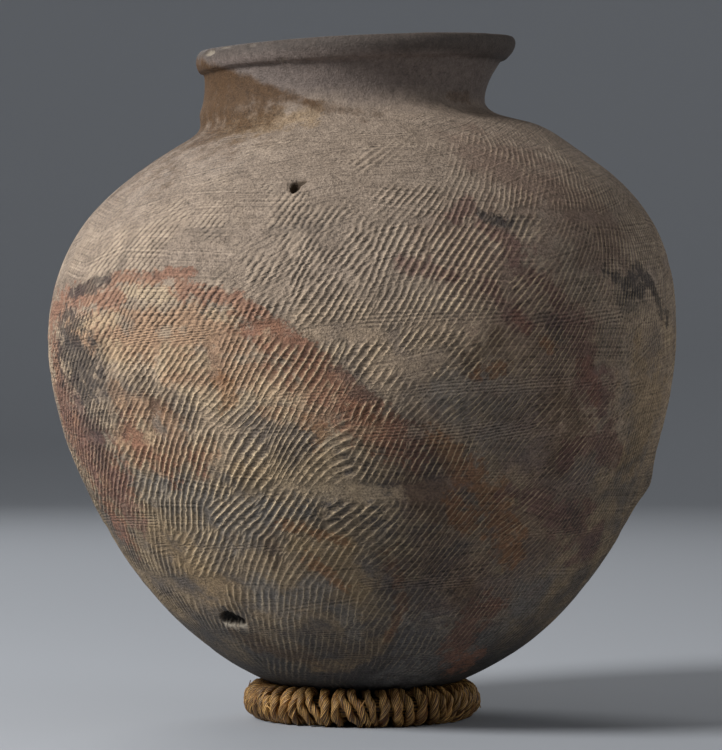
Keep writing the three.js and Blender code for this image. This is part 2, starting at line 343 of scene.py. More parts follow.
@dataclass
class Wall:
    """Where each point of the jar lies on its turned wall, before and after its lean and slump."""

    along: np.ndarray
    azimuth: np.ndarray
    radius: np.ndarray
    height: np.ndarray
    out: np.ndarray
    drop: np.ndarray
    lean: np.ndarray
    side: np.ndarray
    forward: np.ndarray
    outside: np.ndarray
    below_neck: np.ndarray
    points: np.ndarray
    bearing: np.ndarray
    level: np.ndarray


def read(items, name, kind=np.float32, width=1):
    """One value, or a row of them, for each of a mesh's points, corners or faces, end to end."""
    values = np.empty(len(items) * width, kind)
    items.foreach_get(name, values)
    return values


def mesh_places(mesh):
    return read(mesh.vertices, "co", width=3).reshape(-1, 3).astype(float)


def move_points(mesh, places):
    mesh.vertices.foreach_set("co", places.astype(np.float32).ravel())
    mesh.update()


def wall_of(mesh, outline, leaning):
    """Reads a mesh of the wall, either still truly turned or leaning already."""
    lengths = lengths_along(outline)
    along = noted(mesh, "up_wall")
    places = mesh_places(mesh)
    tangent = np.gradient(outline, lengths, axis=0)
    radius = np.interp(along, lengths, outline[:, 0])
    height = np.interp(along, lengths, outline[:, 1])
    out = np.interp(along, lengths, tangent[:, 1])
    drop = -np.interp(along, lengths, tangent[:, 0])
    size = np.maximum(np.hypot(out, drop), 1e-9)
    lean = eased([(h * MM, v * MM) for h, v in LEAN], height)
    side = np.tan(np.radians(eased([(h * MM, v) for h, v in SIDE_SLUMP], height)))
    forward = np.tan(np.radians(eased([(h * MM, v) for h, v in FORWARD_SLUMP], height)))
    azimuth = np.arctan2(places[:, 1], places[:, 0] - lean * leaning)
    x, y = radius * np.cos(azimuth), radius * np.sin(azimuth)
    root, rim_end = FOOT_ROWS + SHOULDER_ROWS, FOOT_ROWS + SHOULDER_ROWS + NECK_ROWS + RIM_ROWS + 1
    return Wall(
        along=along, azimuth=azimuth, radius=radius, height=height, out=out / size, drop=drop / size,
        lean=lean, side=side, forward=forward,
        outside=smooth(along, lengths[rim_end] + INSIDE_FADE, lengths[rim_end]),
        below_neck=smooth(along, lengths[root], lengths[root - NECK_FADE_ROWS]),
        points=np.stack([x, y, height], axis=1),
        bearing=turned(np.arctan2(y, x + lean) + math.pi / 2),
        level=height + x * side + y * forward + SEAT_HEIGHT,
    )


def by_station(stations, value):
    """A value read off straight lines between stations, as a whole array or a single number."""
    return np.interp(value, *zip(*stations))


def row_height(row, azimuth):
    """How far up the wall a row of strikes lies there. No hand keeps a row quite level."""
    waver = math.sin(2 * azimuth + row * 2.4) + 0.7 * math.sin(5 * azimuth + row * 4.1)
    return STRIKE_FIRST_ROW + row * STRIKE_ROW_RISE + STRIKE_ROW_WAVER * waver


def paddle_strikes(outline, vessel):
    """Every strike of the carved paddle, row by row up the wall."""
    random = np.random.default_rng(STRIKE_SEED)
    lengths = lengths_along(outline)
    strikes = []
    top = lengths[FOOT_ROWS + SHOULDER_ROWS]
    for row, along in enumerate(np.arange(STRIKE_FIRST_ROW, top, STRIKE_ROW_RISE)):
        radius, height = (np.interp(along, lengths, outline[:, axis]) for axis in (0, 1))
        count = 2 * max(2, round(math.pi * radius / STRIKE_SPACING))
        start = random.random()
        for place in range(count):
            azimuth = float(turned((place + start + random.normal(0, STRIKE_STRAY)) / count * 2 * math.pi))
            bearing = math.degrees(turned(azimuth + math.pi / 2))
            slant = by_station(RIDGE_SLANTS, bearing) + random.normal(0, SLANT_STRAY)
            slant += FOOT_STEEPENING * float(smooth(height, STEEPER_BELOW, STEEPEST_BELOW))
            pitch = vessel.groove_pitch * by_station(PITCH_SHARES, bearing)
            strikes.append(Strike(
                layer=(row % 2) * 2 + place % 2,
                azimuth=azimuth,
                along=row_height(row, azimuth) + random.normal(0, STRIKE_RISE_STRAY),
                slant=math.radians(slant),
                pitch=pitch * (1 + random.normal(0, PITCH_STRAY)),
                start=random.random(),
                bend=random.normal(0, BEND_STRAY),
                wood_slant=math.radians(random.normal(WOOD_SLANT, WOOD_SLANT_STRAY)),
                press=min(1.0, 0.7 + 0.5 * random.random()),
                half_width=STRIKE_HALF_WIDTH * (0.85 + 0.3 * random.random()),
                half_height=STRIKE_HALF_HEIGHT * (0.85 + 0.3 * random.random()),
                edge=STRIKE_EDGE,
            ))
    return strikes


def scrapes(outline):
    """Every run of fine scraped lines."""
    random = np.random.default_rng(SCRAPE_SEED)
    lengths = lengths_along(outline)
    runs = []
    for row in range(SCRAPE_FIRST_ROW, SCRAPE_LAST_ROW):
        along = STRIKE_FIRST_ROW + (row - 0.5) * STRIKE_ROW_RISE
        radius = np.interp(along, lengths, outline[:, 0])
        count = 2 * round(math.pi * radius / SCRAPE_SPACING)
        start = random.random()
        for place in range(count):
            azimuth = float(turned((place + start) / count * 2 * math.pi))
            runs.append(Strike(
                layer=place % 2,
                azimuth=azimuth,
                along=row_height(row - 0.5, azimuth) + random.normal(0, SCRAPE_RISE_STRAY),
                slant=math.radians(random.normal(SCRAPE_SLANT, SCRAPE_SLANT_STRAY)),
                pitch=SCRAPE_PITCH * (1 + random.normal(0, SCRAPE_PITCH_STRAY)),
                start=random.random(),
                bend=random.normal(0, SCRAPE_BEND_STRAY),
                wood_slant=0.0,
                press=0.75 * random.random() ** 1.2,
                half_width=SCRAPE_HALF_LENGTH * (0.6 + 0.45 * random.random()),
                half_height=SCRAPE_HALF_HEIGHT * (0.5 + 0.7 * random.random()),
                edge=SCRAPE_EDGE,
            ))
    return runs


def lay_strikes(wall, strikes, layers):
    """For each layer: its lines counted off to each point, its wood's lines, and how firmly it covers."""
    count, wood, cover = np.zeros((3, layers, len(wall.along)))
    order = np.argsort(wall.along)
    sorted_along = wall.along[order]
    waver = grain(wall.points, 19 * MM, 3) * 0.14 + grain(wall.points, 7 * MM, 4) * 0.08
    ragged = grain(wall.points, 8 * MM, 5) * 0.35
    for strike in strikes:
        reach = strike.half_height * STRIKE_REACH
        near = order[slice(*np.searchsorted(sorted_along, (strike.along - reach, strike.along + reach)))]
        across = turned(wall.azimuth[near] - strike.azimuth) * wall.radius[near]
        hit = np.abs(across) < strike.half_width * STRIKE_REACH
        struck, across = near[hit], across[hit]
        up = wall.along[struck] - strike.along
        through = across * math.sin(strike.slant) - (up + strike.bend * across**2) * math.cos(strike.slant)
        corner = np.hypot(
            np.maximum(np.abs(across) - strike.half_width + strike.edge, 0),
            np.maximum(np.abs(up) - strike.half_height + strike.edge, 0),
        )
        firm = strike.press * smooth(corner / strike.edge + ragged[struck] * (corner > 0), 1.0, 0.1)
        better = firm >= cover[strike.layer, struck]
        struck = struck[better]
        count[strike.layer, struck] = (through / strike.pitch)[better] + strike.start + waver[struck]
        fibre = across * math.sin(strike.wood_slant) - up * math.cos(strike.wood_slant)
        wood[strike.layer, struck] = fibre[better] / WOOD_PITCH + strike.start * 90
        cover[strike.layer, struck] = firm[better]
    return count, wood, cover


def paddle_marks(wall, outline, vessel):
    """The paddle's and scraper's lines and the share of relief that is left of them at each point."""
    ridges = lay_strikes(wall, paddle_strikes(outline, vessel), STRIKE_LAYERS)
    fine = lay_strikes(wall, scrapes(outline), SCRAPE_LAYERS)
    level, bearing = wall.level / MM, np.degrees(wall.bearing)
    by_height = by_station(RELIEF_BY_HEIGHT, level)
    worn = smooth(grain(wall.points, 36 * MM, 21) + 0.5 * grain(wall.points, 15 * MM, 22), -0.95, 0.1)
    worn = worn + (1 - worn) * smooth(by_height, 0.3, 1.1)
    smoothed = by_station(SMOOTHED_BY_BEARING, bearing) * by_station(SMOOTHED_BY_HEIGHT, level)
    clusters = grain(wall.points, 24 * MM, 23) + 0.6 * grain(wall.points, 10 * MM, 24)
    worn = worn * smooth(clusters, smoothed * 1.5 - 1.2, smoothed * 1.5 - 0.2)
    relief = by_height * by_station(RELIEF_BY_BEARING, bearing) * worn * wall.below_neck * wall.outside
    crest = by_station(CREST_BY_BEARING, bearing) * by_station(CREST_BY_HEIGHT, level)
    return ridges, fine, relief, np.minimum(crest, CREST_MOST)


def ridge_heights(ridges, fine, crest):
    """Height of the ridges at each point, from 0 to 1. Each strike covers part of the earlier ones."""
    height = np.zeros(len(crest))
    for count, _, cover in zip(*ridges):
        swell = 0.5 + 0.5 * np.cos(2 * math.pi * count)
        height += (swell ** np.clip(crest, 0.7, 1.8) - height) * cover
    for cover in fine[2]:
        height *= 1 - 0.75 * cover
    return height


def aside(wall, bearing, across):
    """Distance round the wall from a bearing, in shares of a width in millimetres."""
    return turned(wall.bearing - math.radians(bearing)) * wall.radius / (across * MM)


def burst_blisters(wall):
    """How deep the burst blisters are, in metres, and where their lower lip gets a painted highlight and
    their lower left a painted shadow.
    """
    depth, broken_clay_and_highlight, pit_shadow = np.zeros((3, len(wall.along)))
    for bearing, level, half_width, half_height, deepest, edge, droop, lip in BLISTERS:
        across = aside(wall, bearing, half_width)
        up = (wall.level - level * MM) / (half_height * MM) + droop * across**2 - droop / 2
        inside = np.hypot(across, up) + 0.12 * grain(wall.points, 3 * MM, 45)
        depth = np.maximum(depth, deepest * MM * smooth(inside, 1 + edge, 1 - edge))
        # On the lower lip a pale band, a painted highlight; in the lower left a dark patch, a painted
        # shadow.
        on_lip = smooth(up, -0.2, -0.6) * smooth(np.abs(inside - 1.17), 0.11, 0.04)
        broken_clay_and_highlight = np.maximum(broken_clay_and_highlight, lip * on_lip)
        pit_shadow = np.maximum(pit_shadow, lip * smooth(inside, 1.12, 1.0) * smooth(up + 0.4 * across, 0.4, -0.1))
    return depth * wall.outside, broken_clay_and_highlight, pit_shadow


def rim_chips(wall):
    """How deep the rim's chips are, in metres, and how pale the clay is there, from 0 to 1."""
    depth, pale = np.zeros((2, len(wall.along)))
    ragged = grain(wall.points, 2.5 * MM, 41) * 0.3
    for bearing, level, across, up, deepest, paleness in RIM_CHIPS:
        over = (wall.level - level * MM) / (up * MM)
        chipped = smooth(np.hypot(aside(wall, bearing, across), over) + ragged, 1.1, 0.7) * wall.outside
        depth += deepest * MM * chipped
        pale = np.maximum(pale, paleness * chipped)
    return depth, pale


def hand_built(mesh, outline, vessel):
    """Moves the points of the turned wall to where hands, paddle and fire left them."""
    wall = wall_of(mesh, outline, leaning=False)
    ridges, fine, relief, crest = paddle_marks(wall, outline, vessel)
    rounded = 0.4 + 0.6 * smooth(crest, 0.25, 1.0)
    rise = vessel.ridge_height * relief * rounded * (ridge_heights(ridges, fine, crest) - 0.5)
    lumps = grain(wall.points, 70 * MM, 31) * 0.7 + grain(wall.points, 26 * MM, 32) * 0.3
    rise += lumps * MM * wall.outside + grain(wall.points, 9 * MM, 33) * 0.08 * MM
    for bearing, level, across, up, lift in WALL_TOUCHES:
        over = (wall.level - level * MM) / (up * MM)
        rise += lift * MM * np.exp(-(aside(wall, bearing, across) ** 2) - over**2) * wall.outside
    rise -= rim_chips(wall)[0] + burst_blisters(wall)[0]

    radial = wall.radius + rise * wall.out * (wall.radius > 1e-6)
    x, y = radial * np.cos(wall.azimuth), radial * np.sin(wall.azimuth)
    z = wall.height + rise * wall.drop + x * wall.side + y * wall.forward + SEAT_HEIGHT
    move_points(mesh, np.stack([x + wall.lean, y, z], axis=1))


def note_marks(mesh, outline, vessel):
    """Notes on each point of the finished wall what its finish needs to know of paddle and scraper."""
    wall = wall_of(mesh, outline, leaning=True)
    ridges, fine, relief, crest = paddle_marks(wall, outline, vessel)
    for name, laid in (("ridge", ridges), ("scrape", fine)):
        for layer, (count, wood, cover) in enumerate(zip(*laid)):
            note(mesh, f"{name}_count_{layer}", count)
            note(mesh, f"{name}_wood_{layer}", wood)
            note(mesh, f"{name}_cover_{layer}", cover)
    note(mesh, "relief", relief)
    note(mesh, "crest", crest)
    # The blisters' lower lips carry a painted highlight and their pits a painted shadow; the rim's chips
    # show pale broken clay.
    depth, broken_clay_and_highlight, pit_shadow = burst_blisters(wall)
    note(mesh, "burst", depth / BURST_DEPTH)
    note(mesh, "broken_clay_and_highlight", np.maximum(broken_clay_and_highlight, rim_chips(wall)[1]))
    note(mesh, "pit_shadow", pit_shadow)
    note(mesh, "inside", 1 - wall.outside)


def note(mesh, name, values):
    """Keeps one value for each point of a mesh, under that name, for its finish to read."""
    attribute = mesh.attributes.get(name) or mesh.attributes.new(name, "FLOAT", "POINT")
    attribute.data.foreach_set("value", np.asarray(values, np.float32))


def noted(mesh, name):
    return read(mesh.attributes[name].data, "value").astype(float)


# Jar: fire marks, among them a few runs of painted shade. Each kind has its runs of places. A place is a
# bearing, a height, and the run's half width there, or its half widths to the left and to the right.

FIRE_MARKS = {
    "warm": (
        ((-46, 281, 6.4, 8.6), (-38, 276, 8.4, 9.8), (-31, 275, 8.4, 9.8), (-23, 269, 8.4, 11.2)),
        ((-50, 257, 8.5), (-39, 259, 9.8, 8.4), (-28, 263, 11.2, 8.4), (-20, 260, 9.8)),
        ((-24, 242, 5.6, 6.3), (-17, 242, 5.6), (-11, 245, 7), (-5, 230, 9.8)),
        ((-49, 225, 9.2), (-41, 216, 10.7), (-34, 201, 10.5)),
        ((-18, 217, 4.9), (-11, 215, 5.6), (-6, 212, 7)),
        ((-64, 271, 7.5), (-54, 267, 9.9), (-47, 267, 9.8)),
        ((-33, 240, 9.8), (-21, 242, 9.8), (-12, 234, 11.2)),
        ((-17, 266, 8.5, 12.8), (-11, 247, 8.5, 14.1), (-3, 224, 8.4, 14), (3, 205, 9.8, 14)),
        ((-51, 197, 10.2), (-40, 191, 11.3), (-31, 190, 9.8)),
        ((-110, 225, 16), (-135, 240, 18)),
        ((150, 330, 14), (175, 320, 14)),
    ),
    "rust": (
        ((-77, 284, 13.1, 19.6), (-71, 289, 10.1, 14.6), (-61, 292, 8.2, 10.4), (-53, 293, 7.8, 9.2),
         (-48, 294, 5.7, 7.1)),
        ((-52, 304, 3.5, 5.7), (-44, 305, 3.5, 4.9), (-37, 306, 3.5, 4.9), (-32, 307, 2.8, 4.2)),
        ((-34, 298, 4.3, 5.7), (-31, 296, 5, 6.4), (-28, 292, 4.3, 5.7)),
        ((-27, 293, 3.5, 5.6), (-22, 291, 3.5, 7), (-18, 284, 2.8, 8.5)),
        ((-19, 286, 2.8, 15.7), (-13, 271, 2.1, 21.2), (-8, 258, 2.1, 22.5), (-3, 241, 2.8, 22.4),
         (2, 223, 2.8, 19.6), (7, 208, 3.5, 17.6)),
        ((3, 205, 8.4), (7, 195, 10.5), (10, 188, 7.7)),
        ((-72, 227, 19.5), (-71, 210, 25.5), (-66, 193, 25), (-60, 175, 22.6), (-57, 162, 16.4)),
        ((-66, 149, 14.1), (-66, 135, 12.6)),
        ((-32, 187, 4.9), (-32, 180, 5.7)),
        ((-40, 185, 7.1), (-39, 173, 6.1)),
        ((-47, 207, 7.8), (-46, 194, 8.5), (-44, 186, 6.3)),
        ((30, 63, 9.3), (31, 73, 10.7), (33, 82, 10.4), (37, 85, 6.5)),
        ((33, 54, 6.9), (40, 47, 7.3), (47, 42, 6.8)),
        ((42, 247, 4.6, 5.5), (45, 235, 5.8), (46, 225, 5)),
        ((27, 279, 3), (29, 271, 3.1)),
        ((-72, 258, 11.3), (-72, 234, 13.5)),
        ((-88, 284, 8, 20), (-110, 262, 6, 24), (-130, 230, 6, 24), (-150, 214, 6, 20)),
        ((150, 190, 14), (168, 160, 16)),
    ),
    "ochre": (
        ((12, 199, 7.1), (17, 186, 8.6), (21, 172, 9.5), (26, 158, 9.9), (30, 140, 9.5), (35, 121, 7.5)),
        ((-17, 145, 2.8), (-12, 141, 2.8), (-7, 135, 2.8), (-2, 131, 2.8)),
        ((-13, 121, 2.8), (-8, 111, 2.8), (-4, 99, 2.8)),
        ((5, 125, 2.8), (8, 109, 2.8), (10, 92, 3.6), (10, 77, 3.5), (7, 64, 2.8)),
        ((33, 262, 3.9), (34, 257, 4)),
        ((-25, 238, 4.4), (-23, 229, 5.3), (-24, 222, 3.8)),
        ((-9, 212, 4.9), (-7, 204, 4.2), (-8, 196, 3.5)),
        ((-40, 225, 4.6), (-37, 219, 4.5)),
        ((-1, 219, 4.9, 6.3), (2, 212, 5.6)),
        ((20, 242, 4.2), (25, 247, 4.2)),
        ((18, 159, 6.5), (21, 146, 7.3)),
        ((120, 120, 11), (140, 100, 12)),
        ((-120, 120, 10), (-140, 140, 12)),
    ),
    "tan": (
        ((-51, 147, 13.4), (-47, 127, 15.1), (-42, 109, 11.6)),
        ((-53, 408, 7.1), (-36, 409, 8.5), (-19, 415, 7)),
        ((-13, 130, 11.2), (-6, 120, 11.2), (0, 99, 9.8)),
        ((7, 64, 5.6), (1, 52, 5.6), (-8, 46, 4.9), (-19, 42, 4.2)),
        ((-43, 96, 9.8), (-33, 97, 8.4)),
        ((-21, 172, 9.8), (-8, 179, 9.8)),
        ((59, 244, 18.6), (66, 217, 24.1), (65, 196, 19)),
        ((-110, 130, 16), (-150, 110, 18)),
        ((110, 220, 16), (135, 200, 18)),
    ),
    "soot": (
        ((-65, 263, 19.7, 21.2), (-61, 252, 22.8, 25.5), (-59, 240, 19.1, 21.7)),
        ((-66, 295, 4.3), (-58, 299, 4.9), (-52, 304, 3.9)),
        ((-67, 280, 5.2), (-63, 282, 4.9)),
        ((49, 309, 4.5), (51, 303, 4.6), (54, 298, 3.9)),
        ((53, 304, 4.2), (57, 300, 8.1), (58, 295, 6.1)),
        ((58, 312, 4.7), (60, 306, 6.6), (62, 304, 4.8)),
        ((64, 300, 3.7), (66, 291, 4.1), (68, 283, 4.5)),
        ((23, 344, 3.5), (26, 341, 4.2), (28, 340, 2.8)),
        ((70, 281, 5.1), (72, 278, 5.6)),
        ((-100, 250, 8), (-108, 236, 9)),
        ((-168, 215, 13), (-176, 190, 12)),
    ),
    "smoke_and_shade": (
        # This first run is painted shade, darkening the low front of the body.
        ((-12, 46, 12.6), (6, 53, 16.8), (22, 60, 18.3), (35, 73, 14.5)),
        ((8, 120, 12.7), (15, 85, 15.9)),
        ((-59, 234, 8.7), (-53, 232, 10), (-51, 220, 10.8), (-51, 211, 8.8)),
        ((-48, 234, 7.2), (-43, 231, 8.6), (-37, 226, 8.2), (-35, 218, 6.2)),
        ((-60, 210, 11.6), (-58, 197, 11.6), (-60, 189, 9.7)),
        ((33, 277, 6.2), (35, 270, 7.1)),
        ((26, 340, 4.9), (32, 338, 4.2)),
        ((47, 149, 5.9), (51, 139, 7.4)),
        ((-4, 247, 5.6), (1, 228, 6.3)),
        ((9, 199, 8.5), (14, 179, 7.1)),
        ((59, 291, 7.7), (52, 287, 5.9)),
        ((18, 119, 11.4), (12, 130, 9.9)),
        ((178, 230, 16), (165, 205, 16)),
        ((-120, 200, 12), (-128, 180, 12)),
    ),
    "cream": (
        ((-47, 297, 5.6), (-40, 294, 6.3), (-35, 293, 5.6)),
        ((-26, 281, 4.9), (-22, 278, 5.6)),
        ((-13, 175, 14), (-4, 169, 15.4), (4, 160, 12.6)),
        ((-6, 199, 8.4), (0, 191, 8.4)),
        ((-60, 272, 6.8), (-56, 277, 6.7), (-49, 277, 5.6)),
        ((-51, 260, 8.9), (-46, 249, 8.4)),
        ((-36, 250, 9.8), (-28, 249, 8.4)),
        ((-31, 229, 7.2), (-25, 222, 8.4), (-20, 226, 6.3)),
        ((-17, 230, 8.4), (-12, 223, 9.1)),
        ((70, 277, 7.8), (73, 268, 8.9)),
        ((-45, 207, 6.6), (-42, 200, 6.4)),
        ((-125, 290, 14), (-105, 300, 12)),
        ((170, 300, 16), (150, 290, 14)),
    ),
    "slate": (
        ((14, 92, 14.4), (20, 71, 17.8), (25, 48, 16.4), (14, 39, 11.2)),
        ((14, 224, 14), (23, 228, 19.6), (30, 229, 15.4)),
        ((25, 198, 14.1), (34, 191, 12.8)),
        ((-48, 157, 12.7), (-36, 162, 15.6), (-25, 146, 16.8), (-12, 159, 14)),
        ((-26, 98, 11.6), (-20, 87, 11.4)),
        ((-4, 85, 6.3), (-3, 70, 6.3)),
        ((35, 101, 14.1), (46, 96, 19.5), (40, 62, 13)),
        ((-38, 200, 7), (-35, 194, 6.8)),
        ((49, 177, 11.2), (40, 178, 9.8)),
        ((-16, 92, 8.5), (-8, 103, 8.4)),
        ((170, 110, 20), (200, 90, 20)),
        ((100, 120, 18), (80, 95, 16)),
    ),
    "plum": (
        ((23, 338, 5.1, 5.8), (26, 331, 7.4), (28, 320, 8.2), (31, 311, 8.3), (34, 301, 7.9),
         (36, 289, 6.5)),
        ((29, 165, 6.5), (34, 160, 8.8), (39, 153, 7.5)),
        ((42, 151, 10), (54, 133, 12.6), (61, 125, 10.7)),
        ((-70, 225, 17), (-67, 210, 21.4), (-63, 188, 23.7), (-60, 166, 21.5), (-59, 153, 15)),
        ((37, 279, 10.2), (41, 257, 12.7), (44, 231, 11.5)),
        ((22, 300, 4.4), (24, 291, 5.2), (27, 281, 6), (29, 271, 5.4)),
        ((36, 275, 6.4, 8), (39, 265, 9.2, 10.1), (43, 250, 11.1, 12), (45, 235, 11.7, 12.7),
         (47, 223, 11.1, 12.1), (49, 209, 9.4), (54, 189, 9.3)),
        ((7, 313, 4.9), (15, 307, 4.9)),
        ((42, 191, 9.1), (47, 197, 7.8)),
        ((21, 351, 5), (18, 345, 5)),
        ((105, 260, 13), (118, 225, 14)),
        ((-145, 180, 12), (-130, 160, 12)),
    ),
    "brown": (
        ((19, 321, 24.5), (28, 289, 35.1), (37, 237, 43.6), (37, 185, 43.5), (37, 138, 38)),
        ((33, 379, 21.9), (44, 360, 27.5), (49, 330, 27.7)),
        ((15, 119, 21.2), (30, 98, 24.8)),
        ((10, 199, 17), (15, 159, 21.7)),
        ((100, 300, 30), (112, 240, 36), (105, 180, 34)),
        ((165, 330, 26), (190, 350, 26)),
    ),
    "umber_and_shade": (
        ((-42, 67, 4.7), (-38, 60, 6.7), (-31, 53, 5.7), (-19, 50, 5.6)),
        ((9, 176, 6.3), (13, 163, 8.6), (16, 146, 8.7)),
        ((-20, 133, 6.7), (-19, 119, 6.6)),
        ((-11, 260, 6.3, 8.5), (-6, 242, 6.3, 8.4)),
        ((23, 99, 7.2), (28, 91, 7.3)),
        ((37, 224, 11.8), (42, 204, 13.2), (39, 185, 10.4)),
        ((19, 250, 7.2), (23, 263, 5.8)),
        # These two runs along the neck's root are painted shade in its crease and hollow.
        ((42, 431, 2.8, 3.5), (55, 431, 2.8, 3.5)),
        ((-16, 422, 2.8, 4.2), (-4, 417, 3.5, 4.9), (8, 417, 2.8, 4.2)),
        ((150, 120, 12), (165, 140, 12)),
    ),
    "neck_ochre": (
        ((-75, 454, 6, 84.4), (-58, 446, 4.7, 58.1), (-46, 439, 4.4, 29.7), (-38, 434, 3.6, 10.8),
         (-26, 427, 2.8, 4.2), (-17, 423, 2.1)),
        ((-120, 438, 10, 14), (-150, 436, 8, 12), (-185, 438, 8, 12)),
        ((110, 436, 8, 12), (130, 436, 8, 12)),
    ),
}

# A mark's length round the wall is measured on the points this far above and below its middle
MARK_BAND = 15 * MM


def fire_marks(mesh):
    """Notes on each point how near it lies to the runs of each kind of fire mark, a few of which are
    painted shade.
    """
    places = mesh_places(mesh)
    bearing = turned(np.arctan2(places[:, 1], places[:, 0]) + math.pi / 2)
    radius = np.hypot(places[:, 0], places[:, 1])
    for name, runs in FIRE_MARKS.items():
        shade = np.zeros(len(places))
        for run in runs:
            run = [(turn, level, widths[0], widths[-1]) for turn, level, *widths in run]
            for start, end in zip(run, run[1:]):
                shade = np.maximum(shade, run_cover(start, end, bearing, radius, places[:, 2]))
        note(mesh, name, shade)


def run_cover(start, end, bearing, radius, height):
    """1 on the line between two places of a mark, 0.5 at its half width, and 0 at twice that."""
    turn = float(turned(math.radians(end[0] - start[0])))
    across = turned(bearing - math.radians(start[0]) - turn / 2) * radius
    level = (start[1] + end[1]) / 2 * MM
    mean_radius = float(np.mean(radius[np.abs(height - level) < MARK_BAND]))
    half_turn = turn / 2 * mean_radius
    run = np.array([2 * half_turn, (end[1] - start[1]) * MM])
    offset = np.stack([across + half_turn, height - start[1] * MM], axis=1)
    share = np.clip(offset @ run / max(run @ run, 1e-12), 0, 1)
    to_left = offset @ np.array([-run[1], run[0]]) > 0
    left, right = (start[side] + (end[side] - start[side]) * share for side in (2, 3))
    width = np.where(to_left, left, right) * MM
    return np.clip(1 - np.linalg.norm(offset - share[:, None] * run, axis=1) / (2 * width), 0, 1)


def bake_map(mesh):
    """Lays the wall out flat, by the turn round the axis and the way up the wall."""
    corners = read(mesh.loops, "vertex_index", np.int32)
    places = mesh_places(mesh)[corners]
    turn = np.arctan2(places[:, 1], places[:, 0]) / (2 * math.pi)
    starts, totals = (read(mesh.polygons, name, np.int32) for name in ("loop_start", "loop_total"))
    first = np.repeat(turn[starts], totals)
    turn = turn - np.round(turn - first)
    up = noted(mesh, "up_wall")[corners]
    layer = mesh.uv_layers.new(name="OFBake")
    flat = np.stack([0.02 + 0.96 * (turn + 0.5), 0.01 + 0.98 * up / up.max()], axis=1)
    layer.data.foreach_set("uv", flat.astype(np.float32).ravel())


# Finishes


class Finish:
    """A material in the making: adds shader nodes and joins them up."""

    def __init__(self, name):
        self.material = bpy.data.materials.new(name)
        self.material.use_nodes = True
        self.tree = self.material.node_tree
        self.tree.nodes.clear()
        self.surface = self.tree.nodes.new("ShaderNodeBsdfPrincipled")
        output = self.tree.nodes.new("ShaderNodeOutputMaterial")
        self.tree.links.new(self.surface.outputs["BSDF"], output.inputs["Surface"])

    def add(self, kind, inputs=(), **settings):
        node = self.tree.nodes.new(kind)
        for name, value in settings.items():
            setattr(node, name, value)
        for place, value in dict(inputs).items():
            self.join(value, node.inputs[place])
        return node

    def join(self, value, socket):
        if isinstance(value, bpy.types.NodeSocket):
            self.tree.links.new(value, socket)
        elif socket.type == "RGBA":
            socket.default_value = (*value, 1)
        else:
            socket.default_value = value

    def set(self, inputs):
        for name, value in inputs.items():
            self.join(value, self.surface.inputs[name])

    def places(self):
        return self.add("ShaderNodeTexCoord").outputs["Object"]

    def noted(self, name):
        return self.add("ShaderNodeAttribute", attribute_name=name).outputs["Fac"]

    def math(self, operation, first, second=0.0):
        return self.add("ShaderNodeMath", {0: first, 1: second}, operation=operation).outputs[0]

    def add_scaled(self, base, value, share):
        """The base and a share of a value."""
        inputs = {0: value, 1: share, 2: base}
        return self.add("ShaderNodeMath", inputs, operation="MULTIPLY_ADD").outputs[0]

    def noise(self, vector, size, detail=4.0, roughness=0.55, seed=0.0):
        inputs = {"Vector": vector, "Scale": 1 / size, "Detail": detail, "Roughness": roughness, "W": seed}
        return self.add("ShaderNodeTexNoise", inputs, noise_dimensions="4D").outputs["Fac"]

    def lines(self, count):
        """Uneven lines, one about every whole count."""
        inputs = {"W": count, "Scale": 1.0, "Detail": 1.5, "Roughness": 0.6}
        return self.add("ShaderNodeTexNoise", inputs, noise_dimensions="1D").outputs["Fac"]

    def range(self, value, low, high, start=0.0, end=1.0):
        inputs = {"Value": value, "From Min": low, "From Max": high, "To Min": start, "To Max": end}
        return self.add("ShaderNodeMapRange", inputs, interpolation_type="SMOOTHSTEP").outputs[0]

    def mix(self, share, first, second, blend="MIX"):
        node = self.add("ShaderNodeMix", data_type="RGBA", blend_type=blend)
        self.join(share, node.inputs[0])
        self.join(first, node.inputs[6])
        self.join(second, node.inputs[7])
        return node.outputs[2]

    def bump(self, height, depth, strength=1.0, under=None):
        inputs = {"Height": height, "Distance": depth, "Strength": strength}
        if under is not None:
            inputs["Normal"] = under
        return self.add("ShaderNodeBump", inputs).outputs["Normal"]


